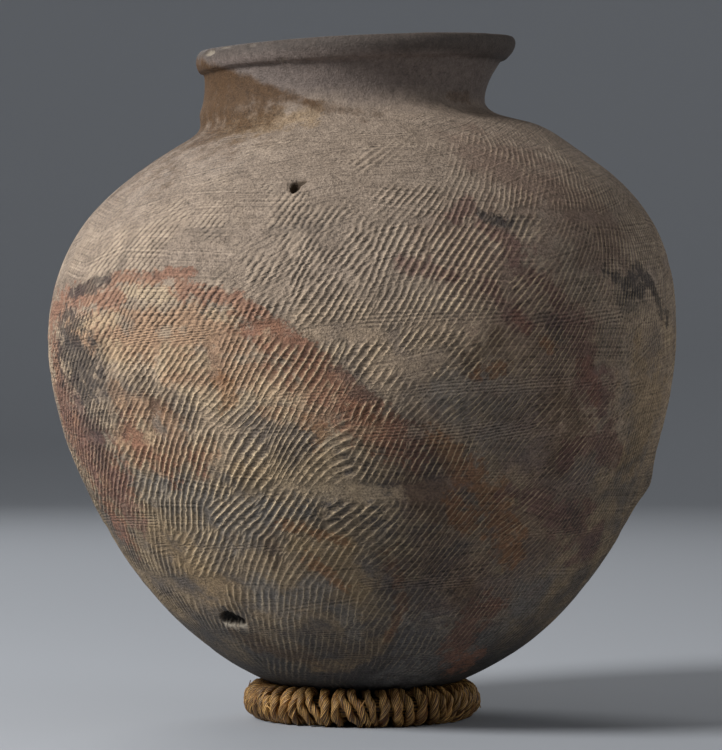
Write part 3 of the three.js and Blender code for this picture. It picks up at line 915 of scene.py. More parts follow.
def stoneware_finish(vessel):
    """Matt grey-brown stoneware with an ash bloom, rust, soot and ochre fire marks, and scraped lines, with
    painted light: a painted highlight on the paddle's ridges and painted shade in their troughs and
    grooves, a painted highlight and shadow on the burst blisters, and painted shade low on the body and
    along the neck's root.
    """
    f = Finish("stoneware")
    places = f.places()
    height = f.add("ShaderNodeSeparateXYZ", {0: places}).outputs["Z"]
    broad = f.noise(places, 0.09, 3)
    patchy = f.noise(places, 0.03, 5, 0.62, 1.0)
    blotchy = f.noise(places, 0.012, 4, 0.6, 5.0)
    speckled = f.noise(places, 0.005, 4, 0.65, 2.0)
    gritty = f.math("SUBTRACT", f.noise(places, 0.0014, 3, 0.65, 3.0), 0.5)
    flattened = f.add("ShaderNodeMapping", {"Vector": places, "Scale": (0.22, 0.22, 1)}).outputs[0]
    streaky = f.noise(flattened, 0.0024, 3, 0.6, 4.0)
    ridge, fine, relief = paddle_relief(f, streaky)
    gritty = f.math("MULTIPLY", gritty, f.range(relief, 0.1, 0.9, 1.0, 0.5))
    gritty = f.math("MULTIPLY", gritty, f.range(height, 0.41, 0.425, 1.0, 0.55))

    def level(low, high, wander):
        shifted = f.add_scaled(height, patchy, wander)
        return f.range(shifted, low + wander / 2, high + wander / 2)

    clay = f.mix(f.range(patchy, 0.35, 0.66), vessel.clay_dark, vessel.clay_light)
    ash = f.mix(f.range(blotchy, 0.32, 0.68), vessel.ash_dark, vessel.ash_light)
    # The lower body's colours and the foot's darken the jar towards the bottom: partly the clay's own
    # colour, partly painted shade.
    low = f.mix(f.range(patchy, 0.38, 0.62), vessel.low_dark_and_shade, vessel.low_light_and_shade)
    colour = f.mix(level(0.265, 0.315, 0.09), clay, ash)
    colour = f.mix(level(0.235, 0.15, 0.12), colour, low)
    colour = f.mix(level(0.09, 0.03, 0.05), colour, vessel.foot_and_shade_colour)
    colour = f.mix(level(0.415, 0.44, 0.03), colour, vessel.neck_colour)
    colour = f.mix(level(0.455, 0.462, 0.01), colour, vessel.rim_colour)

    flecked = f.math("SUBTRACT", f.noise(places, 0.008, 6, 0.72, 6.0), 0.5)
    drifting = f.math("SUBTRACT", f.noise(places, 0.02, 7, 0.72, 7.0), 0.5)
    for name, tint, strength, wander, unrest, softness in (
        ("slate", vessel.slate_colour, 0.5, drifting, 4.0, 0.3),
        ("brown", vessel.brown_colour, 0.6, drifting, 2.5, 0.4),
        ("tan", vessel.tan_colour, 0.4, drifting, 4.0, 0.3),
        ("warm", vessel.warm_colour, 0.6, drifting, 4.0, 0.3),
        ("cream", vessel.cream_colour, 0.5, flecked, 4.5, 0.25),
        # Umber: dark brown smudges, and painted shade along the neck's root.
        ("umber_and_shade", vessel.umber_and_shade_colour, 0.55, drifting, 4.0, 0.3),
        ("ochre", vessel.ochre_colour, 0.55, flecked, 5.0, 0.3),
        ("rust", vessel.rust_colour, 0.75, flecked, 4.5, 0.25),
        ("plum", vessel.plum_colour, 0.65, drifting, 5.0, 0.25),
        # Smoke: grey fire marks, and painted shade low on the front.
        ("smoke_and_shade", vessel.soot_and_shade_colour, 0.5, flecked, 5.0, 0.25),
        ("soot", vessel.soot_and_shade_colour, 0.85, flecked, 4.0, 0.2),
        ("neck_ochre", vessel.neck_ochre_colour, 0.95, drifting, 2.0, 0.35),
    ):
        shade = f.noted(name)
        unrest = f.math("MULTIPLY", f.range(shade, 0.0, 0.25, 0.0, unrest), wander)
        cover = f.range(f.math("ADD", shade, unrest), 0.5 - softness, 0.5 + softness, 0.0, strength)
        colour = f.mix(cover, colour, tint)

    # Heights of the paddle's relief, used below for its bump and for painted light and shade in its tone.
    raised = f.math("MULTIPLY", ridge, relief)
    trough = f.math("SUBTRACT", relief, raised)
    lift = f.range(f.noted("crest"), 0.5, 1.6, 0.45, 1.0)
    lifted, trough_shade = (f.math("MULTIPLY", share, lift) for share in (raised, trough))
    narrow = f.math("POWER", f.math("SUBTRACT", 1.0, ridge), 2.5)
    groove_shade = f.math("MULTIPLY", narrow, relief)
    groove_shade = f.math("MULTIPLY", groove_shade, f.range(f.noted("crest"), 0.7, 1.4, 1.0, 0.1))
    # The ridges' crests are painted paler: partly worn clay, partly a painted highlight.
    crest_wear_and_highlight = f.math("MULTIPLY", raised, f.range(blotchy, 0.35, 0.65, 0.4, 1.0))
    crest_wear_and_highlight = f.math("MULTIPLY", crest_wear_and_highlight, f.range(f.noted("crest"), 0.9, 3.0, 0.15, 0.75))
    colour = f.mix(crest_wear_and_highlight, colour, vessel.crest_wear_and_highlight_colour)
    # Tone: random patches, speckle, grit and fine lines, with a painted highlight on the raised ridges and
    # painted shade in the troughs and narrow grooves.
    tone = 1.0
    for value, middle, share in (
        (broad, 0.5, 0.5),
        (speckled, 0.5, 1.2),
        (gritty, 0.0, 2.6),
        (fine, 0.5, 1.2),
        (lifted, 0.15, 0.6),
        (trough_shade, 0.25, -0.3),
        (groove_shade, 0.04, -0.8),
    ):
        tone = f.add_scaled(tone, f.math("SUBTRACT", value, middle), share)
    colour = f.mix(1.0, colour, f.math("MAXIMUM", tone, 0.15), "MULTIPLY")
    colour = f.mix(f.range(f.noted("burst"), 0.05, 0.5), colour, vessel.burst_colour)
    # Painted shadow in the blisters' pits, then pale clay in the rim's chips together with a painted
    # highlight on the blisters' lower lips.
    colour = f.mix(f.noted("pit_shadow"), colour, vessel.pit_shadow_colour)
    colour = f.mix(f.noted("broken_clay_and_highlight"), colour, vessel.broken_clay_and_highlight_colour)
    colour = f.mix(f.noted("inside"), colour, vessel.inside_colour)

    normal = f.bump(lifted, 1.6 * MM)
    normal = f.bump(fine, 0.6 * MM, 1.0, normal)
    normal = f.bump(f.math("MULTIPLY", streaky, f.range(relief, 0.0, 0.4, 0.3, 1.0)), 0.5 * MM, 1.0, normal)
    normal = f.bump(speckled, 0.6 * MM, 1.0, normal)
    normal = f.bump(gritty, 1.2 * MM, 1.0, normal)
    rough = f.range(patchy, 0.3, 0.7, 0.66, 0.84)
    f.set({"Base Color": colour, "Normal": normal, "Roughness": rough, "Specular IOR Level": 0.3})
    return f.material


def paddle_relief(f, streaky):
    """Sharp ridges and fine scraped lines, counted off from what each point knows of its strikes."""
    crest = f.noted("crest")
    ragged = f.math("MULTIPLY", f.math("SUBTRACT", streaky, 0.5), f.range(crest, 0.6, 2.2, 1.2, 0.6))

    def swell(count):
        turns = f.math("MULTIPLY", f.math("ADD", count, ragged), 2 * math.pi)
        return f.add_scaled(0.5, f.math("COSINE", turns), 0.5)

    def over(base, value, cover):
        return f.add_scaled(base, f.math("SUBTRACT", value, base), cover)

    ridge, fine, struck_share = 0.0, 0.5, 0.0
    for layer in range(STRIKE_LAYERS):
        cover = f.noted(f"ridge_cover_{layer}")
        struck = f.math("POWER", swell(f.noted(f"ridge_count_{layer}")), crest)
        ridge = over(ridge, struck, cover)
        fine = over(fine, f.lines(f.noted(f"ridge_wood_{layer}")), cover)
        struck_share = over(struck_share, 1.0, cover)
    relief = f.math("MULTIPLY", f.noted("relief"), f.range(struck_share, 0.05, 0.45))
    for layer in range(SCRAPE_LAYERS):
        cover = f.noted(f"scrape_cover_{layer}")
        fine = over(fine, swell(f.noted(f"scrape_count_{layer}")), cover)
        relief = f.math("MULTIPLY", relief, f.add_scaled(1.0, cover, -0.85))
    return ridge, fine, relief


def straw_finish(name, ring, shade_share):
    """Dry rice straw: each stalk its own tone, darker between stalks, with fine lines along it."""
    f = Finish(name)
    stalk, along, hollow = f.noted("stalk"), f.noted("along"), f.noted("hollow")
    strip = f.add("ShaderNodeCombineXYZ", {"X": f.math("MULTIPLY", stalk, 7.3), "Y": along}).outputs[0]
    tone = f.noise(strip, 0.35, 3, 0.6)
    places = f.places()
    patchy = f.noise(places, 0.012, 3, 0.5, 1.0)
    fine = f.noise(places, 0.0012, 3, 0.6, 2.0)
    turn = f.noise(f.add("ShaderNodeCombineXYZ", {"X": along}).outputs[0], 0.9, 2, 0.6, 3.0)
    colour = f.mix(f.range(tone, 0.44, 0.55), ring.straw_dark, ring.straw_light)
    colour = f.mix(f.range(patchy, 0.35, 0.7, 0.0, 0.4), colour, ring.straw_mid)
    colour = f.mix(f.range(fine, 0.45, 0.75, 0.0, 0.4), colour, ring.straw_dark)
    colour = f.mix(1.0, colour, f.range(turn, 0.3, 0.7, 0.55, 1.4), "MULTIPLY")
    colour = f.mix(f.range(hollow, 0.2, 0.85, 0.0, 0.95), colour, ring.straw_gap)
    # The whole piece gets a share of the shade colour between stalks, as painted shade.
    if shade_share:
        colour = f.mix(shade_share, colour, ring.straw_gap)
    normal = f.bump(fine, 0.3 * MM, 0.8, f.bump(tone, 0.5 * MM))
    rough = f.range(tone, 0.3, 0.7, 0.3, 0.5)
    f.set({"Base Color": colour, "Normal": normal, "Roughness": rough, "Specular IOR Level": 0.4})
    return f.material


def plain_finish(name, colour, roughness):
    f = Finish(name)
    f.set({"Base Color": colour, "Roughness": roughness})
    return f.material


# Building pieces


def new_piece(name, bm, material):
    """An object at the origin from a finished bmesh."""
    mesh = bpy.data.meshes.new(name)
    bm.to_mesh(mesh)
    bm.free()
    piece = bpy.data.objects.new(name, mesh)
    bpy.context.scene.collection.objects.link(piece)
    mesh.materials.append(material)
    return piece


def settle(piece):
    """Makes the result of a piece's modifiers its own mesh."""
    graph = bpy.context.evaluated_depsgraph_get()
    shaped = bpy.data.meshes.new_from_object(
        piece.evaluated_get(graph), preserve_all_data_layers=True, depsgraph=graph
    )
    raw = piece.data
    piece.modifiers.clear()
    piece.data = shaped
    shaped.name = piece.name
    bpy.data.meshes.remove(raw)


@contextmanager
def editing(mesh):
    """A bmesh of a mesh, which is put back when its edits are done."""
    bm = bmesh.new()
    bm.from_mesh(mesh)
    yield bm
    bm.to_mesh(mesh)
    bm.free()


def shade_smooth(mesh):
    mesh.polygons.foreach_set("use_smooth", np.ones(len(mesh.polygons), bool))
    mesh.update()


def spun(bm, points, edges, steps):
    """The skin that an outline makes when it is spun once round the upright axis."""
    bmesh.ops.spin(
        bm, geom=points + edges, cent=(0, 0, 0), axis=(0, 0, 1), dvec=(0, 0, 0),
        angle=2 * math.pi, steps=steps, use_merge=True, use_duplicate=False,
    )
    bmesh.ops.remove_doubles(bm, verts=bm.verts, dist=DOUBLES_APART)
    bmesh.ops.recalc_face_normals(bm, faces=bm.faces)
    return in_order(bm)


def in_order(bm):
    """The same skin made afresh, face by face in the order of its points, so that no run differs."""
    fresh = bmesh.new()
    names = bm.verts.layers.float.keys()
    for name in names:
        fresh.verts.layers.float.new(name)
    layers = [(bm.verts.layers.float[name], fresh.verts.layers.float[name]) for name in names]
    bm.verts.index_update()
    points, faces = [], []
    for point in bm.verts:
        points.append(fresh.verts.new(point.co))
        for old, new in layers:
            points[-1][new] = point[old]
    for face in bm.faces:
        corners = [point.index for point in face.verts]
        lowest = corners.index(min(corners))
        faces.append(corners[lowest:] + corners[:lowest])
    for corners in sorted(faces):
        fresh.faces.new([points[index] for index in corners])
    bm.free()
    return fresh


def turned_wall(vessel):
    """The jar's wall as a true turned form, whose points know how far up the outline they lie."""
    outline = jar_outline(vessel)
    bm = bmesh.new()
    up_wall = bm.verts.layers.float.new("up_wall")
    points = []
    for (radius, height), along in zip(outline, lengths_along(outline)):
        point = bm.verts.new((radius, 0, height))
        point[up_wall] = along
        points.append(point)
    edges = [bm.edges.new(pair) for pair in zip(points, points[1:])]
    return spun(bm, points, edges, BASE_STEPS), outline


def ease_folds(mesh):
    """Relaxes the few points where thinning the mesh has folded the wall over on itself."""
    with editing(mesh) as bm:
        for _ in range(FOLD_PASSES):
            bm.normal_update()
            folds = [edge for edge in bm.edges if edge.calc_face_angle(0) > FOLD_ANGLE]
            points = list(dict.fromkeys(point for edge in folds for point in edge.verts))
            bmesh.ops.smooth_vert(
                bm, verts=points, factor=FOLD_EASING, use_axis_x=True, use_axis_y=True, use_axis_z=True
            )


def build_jar(vessel):
    bm, outline = turned_wall(vessel)
    jar = new_piece("stoneware_jar", bm, stoneware_finish(vessel))
    refine = jar.modifiers.new("refined", "SUBSURF")
    refine.subdivision_type = "SIMPLE"
    refine.levels = refine.render_levels = REFINING
    settle(jar)
    hand_built(jar.data, outline, vessel)
    jar.data.calc_loop_triangles()
    thin = jar.modifiers.new("thinned", "DECIMATE")
    thin.ratio = JAR_TRIANGLES / len(jar.data.loop_triangles)
    settle(jar)
    ease_folds(jar.data)
    note_marks(jar.data, outline, vessel)
    fire_marks(jar.data)
    bake_map(jar.data)
    shade_smooth(jar.data)
    return jar


# Straw ring: the rope is twisted straight, then wound round the core

PLIES = 2
PLY_STALKS = 11
PLY_RADIUS = 0.7
PLY_OFFSET = 0.31
STALK_HOLLOW = 0.85
STEPS_A_TURN = 36
PRESS_CLEARANCE = 0.25 * MM
ROPE_SEED = 5
# Share of a turn that is left between the rope's two ends
END_GAP = 0.125
# How unlike each other the turns are: in their strands' twist, width, thickness and lean
UNTWIST_SPREAD = 0.9
WIDTH_SPREAD = 0.3
SWELL_SPREAD = 0.07
LEAN_SPREAD = 0.4
# How far a turn is shifted by the wider turns before it, and half its width, as shares of its pitch
SHIFT_SHARE = 0.6
HALF_WIDTH_SHARE = 0.44
# Loose ends: how many, how deep they start, where round the rope's section, and their lengths and radii
LOOSE_ENDS = 13
LOOSE_SEED = 17
LOOSE_DEPTH = 1.2 * MM
LOOSE_SECTIONS = (-60, 70)
LOOSE_LENGTHS = (5, 10)
LOOSE_SIDES = 6
LOOSE_FOOT_RADIUS = 0.55 * MM
LOOSE_TIP_RADIUS = 0.3 * MM


def new_stalks():
    """An empty bmesh whose points can say which stalk they lie on, and whether in the hollow beside it."""
    bm = bmesh.new()
    for name in ("stalk", "hollow"):
        bm.verts.layers.float.new(name)
    return bm


def stalk_ring(bm, middle, axis, stalks, radius, first=0):
    """A ring of stalks round a middle: a point on each stalk and, set in, one between it and the next."""
    stalk, hollow = (bm.verts.layers.float[name] for name in ("stalk", "hollow"))
    upright = Matrix.Translation(middle) @ Matrix.Rotation(math.pi / 2, 4, axis)
    points = bmesh.ops.create_circle(bm, segments=stalks * 2, radius=radius, matrix=upright)["verts"]
    for place, point in enumerate(points):
        point[stalk] = first + place // 2
        if place % 2:
            point.co = middle + (point.co - middle) * STALK_HOLLOW
            point[hollow] = 1
    return points


def strand_ends():
    """The cut ends of the rope's strands, one unit from the rope's middle to its outside."""
    bm = new_stalks()
    for ply in range(PLIES):
        angle = 2 * math.pi * ply / PLIES
        middle = Vector((0, math.cos(angle), math.sin(angle))) * PLY_OFFSET
        stalk_ring(bm, middle, "Y", PLY_STALKS, PLY_RADIUS, ply * PLY_STALKS * 2)
    return bm


def twist_straight(rope, ring):
    """Twists the strands into a straight rope, one unit long for each turn that it will make."""
    turns = ring.rope_turns - END_GAP
    twist = rope.modifiers.new("twisted", "SCREW")
    twist.axis = "X"
    twist.angle = 2 * math.pi * turns * ring.turn_length / ring.twist_length
    twist.screw_offset = turns
    twist.steps = twist.render_steps = round(turns * STEPS_A_TURN)
    settle(rope)
    with editing(rope.data) as bm:
        ends = [edge for edge in bm.edges if edge.is_boundary]
        bmesh.ops.holes_fill(bm, edges=ends, sides=PLY_STALKS * 2)
        bmesh.ops.recalc_face_normals(bm, faces=bm.faces)


def wind_rope(mesh, ring, vessel):
    """Winds the straight rope round the core, presses it under the jar's foot and sets it on the floor."""
    random = np.random.default_rng(ROPE_SEED)
    along, across, over = mesh_places(mesh).T
    marks = np.arange(ring.rope_turns + 2)
    untwist = np.interp(along, marks, np.cumsum(random.normal(0, UNTWIST_SPREAD, len(marks))))
    across, over = (
        across * np.cos(untwist) - over * np.sin(untwist), across * np.sin(untwist) + over * np.cos(untwist)
    )
    turn_angle = 2 * math.pi / ring.rope_turns
    path_radius = ROPE_OUTER_RADIUS - ring.ring_radius - ring.rope_thickness / 2
    widths = random.normal(0, WIDTH_SPREAD, len(marks))
    shifts = np.cumsum(widths - widths.mean()) * turn_angle * SHIFT_SHARE
    swell = random.normal(0, SWELL_SPREAD, len(marks))
    ring_angle = math.pi / 2 + along * turn_angle + np.interp(along, marks, shifts)
    section = math.pi - 2 * math.pi * along
    leans = random.normal(0, LEAN_SPREAD, len(marks)) * turn_angle
    ring_angle = ring_angle + np.interp(along, marks, leans) * np.sin(section)
    rough = np.stack([along * 3, noted(mesh, "stalk") * 2.3, np.zeros_like(along)], axis=1)
    lumps = 1 + 0.12 * grain(rough, 1.0, 51) + 0.08 * grain(rough, 0.35, 52)
    lumps = lumps + np.interp(along, marks, swell)
    reach = ring.ring_radius + path_radius * np.cos(section)
    half_width = turn_angle * reach * HALF_WIDTH_SHARE * (1 + np.interp(along, marks, widths) * 0.5)
    out = np.stack([np.cos(ring_angle), np.sin(ring_angle), np.zeros_like(along)], axis=1)
    beside = np.stack([-out[:, 1], out[:, 0], np.zeros_like(along)], axis=1)
    upright = np.array([0, 0, 1.0])
    away = out * np.cos(section)[:, None] + upright * np.sin(section)[:, None]
    placed = out * ring.ring_radius + upright * CORE_HEIGHT + away * path_radius
    placed += beside * (across * half_width * lumps)[:, None]
    placed += away * (over * ring.rope_thickness / 2 * lumps)[:, None]
    press(placed, vessel)
    note(mesh, "along", along)
    move_points(mesh, placed)


def loose_ends(mesh, ring, vessel):
    """Short ends of stalks that have slipped out of the twist."""
    random = np.random.default_rng(LOOSE_SEED)
    reach = ROPE_OUTER_RADIUS - ring.ring_radius - LOOSE_DEPTH
    with editing(mesh) as bm:
        stalk, along = (bm.verts.layers.float[name] for name in ("stalk", "along"))
        for end in range(LOOSE_ENDS):
            bearing = 2 * math.pi * (end + random.random()) / LOOSE_ENDS
            section = math.radians(random.uniform(*LOOSE_SECTIONS))
            out = Vector((math.cos(bearing), math.sin(bearing), 0))
            beside = Vector((-out.y, out.x, 0))
            away = out * math.cos(section) + Vector((0, 0, math.sin(section)))
            down = out * math.sin(section) - Vector((0, 0, math.cos(section)))
            heading = down * random.choice((-1, 1)) + beside * random.normal(0, 0.5)
            heading += away * random.uniform(0.05, 0.4)
            size = random.uniform(*LOOSE_LENGTHS) * MM
            foot = out * ring.ring_radius + Vector((0, 0, CORE_HEIGHT)) + away * reach
            place = Matrix.Translation(foot + heading.normalized() * size * 0.35)
            place = place @ heading.to_track_quat("Z", "Y").to_matrix().to_4x4()
            made = bmesh.ops.create_cone(
                bm, cap_ends=True, segments=LOOSE_SIDES, depth=size,
                radius1=LOOSE_FOOT_RADIUS, radius2=LOOSE_TIP_RADIUS, matrix=place,
            )
            for point in made["verts"]:
                point[stalk] = end * 1.7
                point[along] = end * 0.37
    placed = mesh_places(mesh)
    press(placed, vessel)
    move_points(mesh, placed)


def press(placed, vessel):
    """Keeps straw above the floor and below the jar's round foot."""
    foot = foot_curve(vessel)
    under_foot = np.interp(np.hypot(placed[:, 0], placed[:, 1]), foot[:, 0], foot[:, 1]) + SEAT_HEIGHT
    placed[:, 2] = np.clip(placed[:, 2], 0, under_foot - PRESS_CLEARANCE)


def build_rope(ring, vessel):
    rope = new_piece("straw_rope_winding", strand_ends(), straw_finish("straw_rope", ring, 0.0))
    twist_straight(rope, ring)
    wind_rope(rope.data, ring, vessel)
    loose_ends(rope.data, ring, vessel)
    shade_smooth(rope.data)
    return rope


CORE_STALKS = 14
CORE_STEPS = 160


def build_core(ring):
    """A bundle of straw bent into a closed ring."""
    bm = new_stalks()
    middle = Vector((ring.ring_radius, 0, CORE_HEIGHT))
    points = stalk_ring(bm, middle, "X", CORE_STALKS, ring.core_diameter / 2)
    edges = list(dict.fromkeys(edge for point in points for edge in point.link_edges))
    bm = spun(bm, points, edges, CORE_STEPS)
    # The core is darkened with a 0.3 share of painted shade.
    core = new_piece("straw_bundle_core", bm, straw_finish("straw_bundle", ring, 0.3))
    places = mesh_places(core.data)
    note(core.data, "along", np.arctan2(places[:, 1], places[:, 0]) * 3)
    shade_smooth(core.data)
    return core


# Stage

FLOOR_RADIUS = 5.6
FLOOR_SIDES = 96
BACKDROP_HEIGHT = 4.0
SWEEP_RADIUS = 1.6
SWEEP_STEPS = 16
CAMERA_DISTANCE = 2.4
CAMERA_HEIGHT = 240.4 * MM
CAMERA_SIDE = -0.7 * MM
CAMERA_LENS = 163.9
CAMERA_REACH = 50
LAMP_AIM = Vector((0, 0, 0.24))
# Place and width of each lamp
KEY_LAMP = (-2.26, -1.22, 1.95), 1.1
FILL_LAMP = (2.4, -0.7, 1.2), 1.6
BACK_LAMP = (-1.0, 2.7, 2.3), 1.8


def build_floor(stage):
    """A round floor that sweeps up into a backdrop on every side."""
    bm = bmesh.new()
    bmesh.ops.create_circle(bm, cap_ends=True, segments=FLOOR_SIDES, radius=FLOOR_RADIUS)
    bend = list(bm.edges)
    grown = bmesh.ops.extrude_edge_only(bm, edges=bend)["geom"]
    raised = [part for part in grown if isinstance(part, bmesh.types.BMVert)]
    bmesh.ops.translate(bm, vec=(0, 0, BACKDROP_HEIGHT), verts=raised)
    bmesh.ops.bevel(
        bm, geom=bend, offset=SWEEP_RADIUS, offset_type="OFFSET", affect="EDGES",
        segments=SWEEP_STEPS, profile=0.5, material=-1,
    )
    floor = new_piece("floor", bm, plain_finish("pale_floor", stage.floor_colour, 0.9))
    shade_smooth(floor.data)
    return floor


def add_lamp(name, place, size, energy):
    data = bpy.data.lights.new(name, "AREA")
    data.shape = "DISK"
    data.size = size
    data.energy = energy
    lamp = bpy.data.objects.new(name, data)
    lamp.location = place
    aim = LAMP_AIM - Vector(place)
    lamp.rotation_euler = aim.to_track_quat("-Z", "Y").to_euler()
    lamp.visible_camera = False
    bpy.context.scene.collection.objects.link(lamp)


def build_stage(stage):
    scene = bpy.context.scene
    build_floor(stage)
    add_lamp("key", *KEY_LAMP, stage.key_energy)
    add_lamp("fill", *FILL_LAMP, stage.fill_energy)
    add_lamp("back", *BACK_LAMP, stage.back_energy)
    world = bpy.data.worlds.new("studio")
    world.use_nodes = True
    background = world.node_tree.nodes["Background"]
    background.inputs["Color"].default_value = (1, 1, 1, 1)
    background.inputs["Strength"].default_value = stage.sky_strength
    scene.world = world
    camera = bpy.data.objects.new("camera", bpy.data.cameras.new("camera"))
    camera.data.lens = CAMERA_LENS
    camera.data.clip_end = CAMERA_REACH
    camera.location = (CAMERA_SIDE, -CAMERA_DISTANCE, CAMERA_HEIGHT)
    camera.rotation_euler = (math.pi / 2, 0, 0)
    scene.collection.objects.link(camera)
    scene.camera = camera
    scene.view_settings.view_transform = "Standard"


# Settings, operators and panel


def length(name, description, default):
    return FloatProperty(
        name=name, description=description, default=default * MM, min=0, unit="LENGTH", precision=4
    )


def power(name, description, default):
    return FloatProperty(name=name, description=description, default=default, min=0, unit="POWER")


def tint(name, description, *shares):
    return FloatVectorProperty(
        name=name, description=description, default=srgb(*shares), subtype="COLOR", min=0, max=1
    )


class VesselSettings(bpy.types.PropertyGroup):
    """Sizes and colours of the jar."""

    belly_radius: length("Belly Radius", "Widest radius of the body", 219.5)
    belly_height: length("Belly Height", "Height of the widest level above the foot", 255)
    shoulder_rise: length("Shoulder Rise", "From the widest level up to the neck's root", 145)
    neck_root_radius: length("Neck Root Radius", "Radius where the neck meets the shoulder", 116)
    neck_rise: length("Neck Rise", "From the neck's root up to the rim band", 44)
    neck_top_radius: length("Neck Top Radius", "Radius of the neck under the rim band", 104.5)
    rim_overhang: length("Rim Overhang", "How far the rim band stands out from the neck", 7.5)
    rim_height: length("Rim Height", "Height of the rim band", 15.5)
    body_wall: length("Body Wall", "Thickness of the wall from the belly up", 9)
    foot_wall: length("Foot Wall", "Thickness of the floor of the jar", 13)
    groove_pitch: length("Groove Pitch", "Distance between the paddle's grooves", 4.7)
    ridge_height: length("Ridge Height", "Height of the tallest ridges left by the paddle", 1.0)
    ash_light: tint("Light Ash", "Pale ash bloom on the shoulder", 156, 139, 123)
    ash_dark: tint("Dark Ash", "Dull ash bloom on the shoulder", 138, 122, 107)
    clay_light: tint("Light Clay", "Pale patches of the body", 172, 150, 126)
    clay_dark: tint("Dark Clay", "Dull patches of the body", 138, 122, 107)
    # The lower colours and the foot's are partly the clay's own, partly painted shade that darkens the body
    # towards the bottom.
    low_light_and_shade: tint("Light Lower Clay", "Pale patches low on the body", 143, 124, 100)
    low_dark_and_shade: tint("Dark Lower Clay", "Blue-grey patches low on the body", 102, 92, 83)
    foot_and_shade_colour: tint("Foot", "Blue-grey of the foot", 64, 62, 60)
    neck_colour: tint("Neck", "Grey of the neck", 114, 102, 95)
    rim_colour: tint("Rim", "Brown-grey of the rim band", 84, 75, 69)
    rust_colour: tint("Rust", "Red of the fire marks", 142, 98, 77)
    warm_colour: tint("Warm Flush", "Orange-brown flush around the fire marks", 168, 128, 97)
    tan_colour: tint("Tan", "Brown-yellow flush low on the body", 160, 132, 92)
    ochre_colour: tint("Ochre", "Brown-yellow of the fire marks", 142, 94, 56)
    brown_colour: tint("Brown", "Dull brown of the right-hand side", 116, 92, 80)
    # Also painted shade along the neck's root.
    umber_and_shade_colour: tint("Umber", "Dark brown smudges of the fire marks", 90, 70, 53)
    # Also the painted shade low on the front, at half strength.
    soot_and_shade_colour: tint("Soot", "Black of the fire marks", 64, 58, 57)
    cream_colour: tint("Cream", "Palest patches of the body", 190, 166, 134)
    plum_colour: tint("Plum", "Purple-brown of the fire marks", 108, 78, 72)
    slate_colour: tint("Slate", "Blue-grey patches of the body", 118, 115, 111)
    neck_ochre_colour: tint("Neck Ochre", "Brown-yellow flush of the neck", 84, 61, 38)
    # Partly worn clay, partly a painted highlight on the ridges' crests.
    crest_wear_and_highlight_colour: tint("Crest", "Worn crests of the paddle's ridges", 212, 188, 152)
    burst_colour: tint("Burst", "Inside of the burst blisters", 84, 70, 56)
    # Painted shadow in a burst blister's pit.
    pit_shadow_colour: tint("Pit", "Darkest part of a burst blister", 30, 25, 20)
    # Pale clay of the rim's chips, and a painted highlight on a blister's lower lip.
    broken_clay_and_highlight_colour: tint("Broken Clay", "Pale broken clay on a blister's lip", 176, 164, 146)
    inside_colour: tint("Inside", "Grey of the inner wall", 112, 103, 95)


class RingSettings(bpy.types.PropertyGroup):
    """Sizes and colours of the straw ring."""

    ring_radius: length("Ring Radius", "From the ring's middle to the middle of its core", 70)
    core_diameter: length("Core Diameter", "Thickness of the straw bundle", 12.8)
    rope_thickness: length("Rope Thickness", "Thickness of the rope across the winding", 7)
    rope_turns: IntProperty(
        name="Rope Turns", description="Turns of the rope round the core", default=56, min=8
    )
    turn_length: length("Turn Length", "Length of rope in one turn", 65)
    twist_length: length("Twist Length", "Length of rope in one full twist of its strands", 25)
    straw_light: tint("Light Straw", "Clean stalks", 255, 202, 122)
    straw_mid: tint("Mid Straw", "Most stalks", 180, 116, 52)
    straw_dark: tint("Dark Straw", "Browned stalks", 84, 47, 20)
    straw_gap: tint("Straw Gaps", "Shade between the stalks", 34, 20, 8)


class StageSettings(bpy.types.PropertyGroup):
    """Floor and lamps."""

    floor_colour: tint("Floor", "Pale floor and backdrop", 168, 172, 178)
    key_energy: power("Key Lamp", "Power of the large soft lamp", 104)
    fill_energy: power("Fill Lamp", "Power of the far soft lamp", 10)
    back_energy: power("Back Lamp", "Power of the lamp behind", 34)
    sky_strength: FloatProperty(name="Sky", description="Even light from all round", default=0.1, min=0)


class JAR_OT_vessel(bpy.types.Operator):
    """Build the stoneware jar"""

    bl_idname = "straw_ring_jar.vessel"
    bl_label = "Build Jar"

    def execute(self, context):
        jar = build_jar(context.scene.jar_vessel)
        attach(jar, "jar")
        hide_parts("jar")
        return {"FINISHED"}


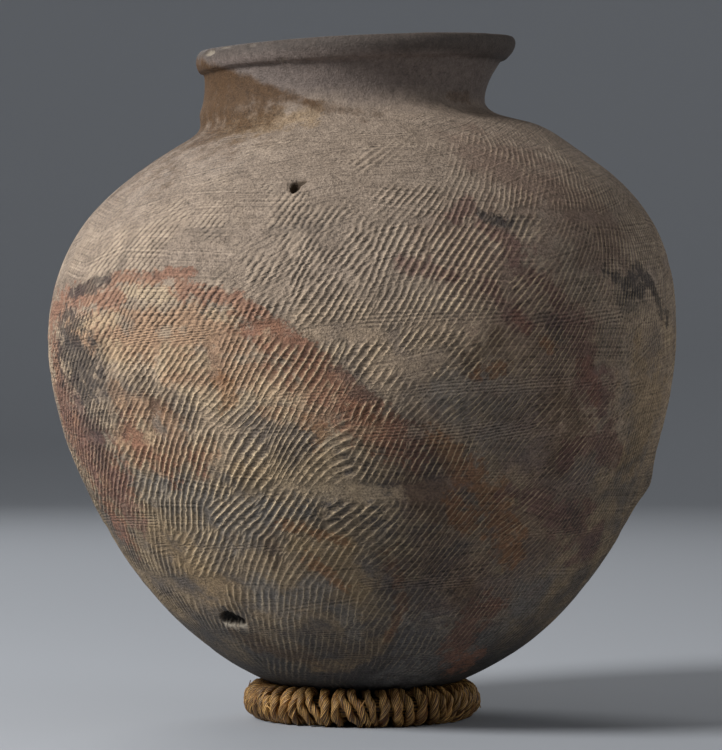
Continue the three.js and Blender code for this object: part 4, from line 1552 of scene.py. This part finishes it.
class JAR_OT_core(bpy.types.Operator):
    """Build the bundle of straw inside the ring"""

    bl_idname = "straw_ring_jar.core"
    bl_label = "Build Ring Core"

    def execute(self, context):
        core = build_core(context.scene.jar_ring)
        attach(core, "ring")
        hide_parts("ring_core")
        return {"FINISHED"}


class JAR_OT_rope(bpy.types.Operator):
    """Twist the straw rope and wind it round the core"""

    bl_idname = "straw_ring_jar.rope"
    bl_label = "Build Ring Rope"

    def execute(self, context):
        rope = build_rope(context.scene.jar_ring, context.scene.jar_vessel)
        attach(rope, "ring")
        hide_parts("ring_rope")
        return {"FINISHED"}


class JAR_OT_stage(bpy.types.Operator):
    """Lay the floor and set the lamps and the camera"""

    bl_idname = "straw_ring_jar.stage"
    bl_label = "Build Stage"

    def execute(self, context):
        build_stage(context.scene.jar_stage)
        return {"FINISHED"}


OPERATORS = (JAR_OT_vessel, JAR_OT_core, JAR_OT_rope, JAR_OT_stage)


class JAR_PT_maker(bpy.types.Panel):
    """Lists the jar's operators and settings"""

    bl_idname = "JAR_PT_maker"
    bl_label = "Jar on a Straw Ring"
    bl_space_type = "VIEW_3D"
    bl_region_type = "UI"
    bl_category = "Jar"

    def draw(self, context):
        for operator in OPERATORS:
            self.layout.operator(operator.bl_idname)
        for settings in (context.scene.jar_vessel, context.scene.jar_ring, context.scene.jar_stage):
            box = self.layout.box()
            for name in settings.__annotations__:
                box.prop(settings, name)


CLASSES = (VesselSettings, RingSettings, StageSettings, *OPERATORS, JAR_PT_maker)


def register():
    for cls in CLASSES:
        bpy.utils.register_class(cls)
    bpy.types.Scene.jar_vessel = PointerProperty(type=VesselSettings)
    bpy.types.Scene.jar_ring = PointerProperty(type=RingSettings)
    bpy.types.Scene.jar_stage = PointerProperty(type=StageSettings)


def unregister():
    del bpy.types.Scene.jar_stage
    del bpy.types.Scene.jar_ring
    del bpy.types.Scene.jar_vessel
    for cls in reversed(CLASSES):
        bpy.utils.unregister_class(cls)


def main():
    register()
    bpy.ops.straw_ring_jar.vessel()
    bpy.ops.straw_ring_jar.core()
    bpy.ops.straw_ring_jar.rope()
    bpy.ops.straw_ring_jar.stage()


if __name__ == "__main__":
    main()
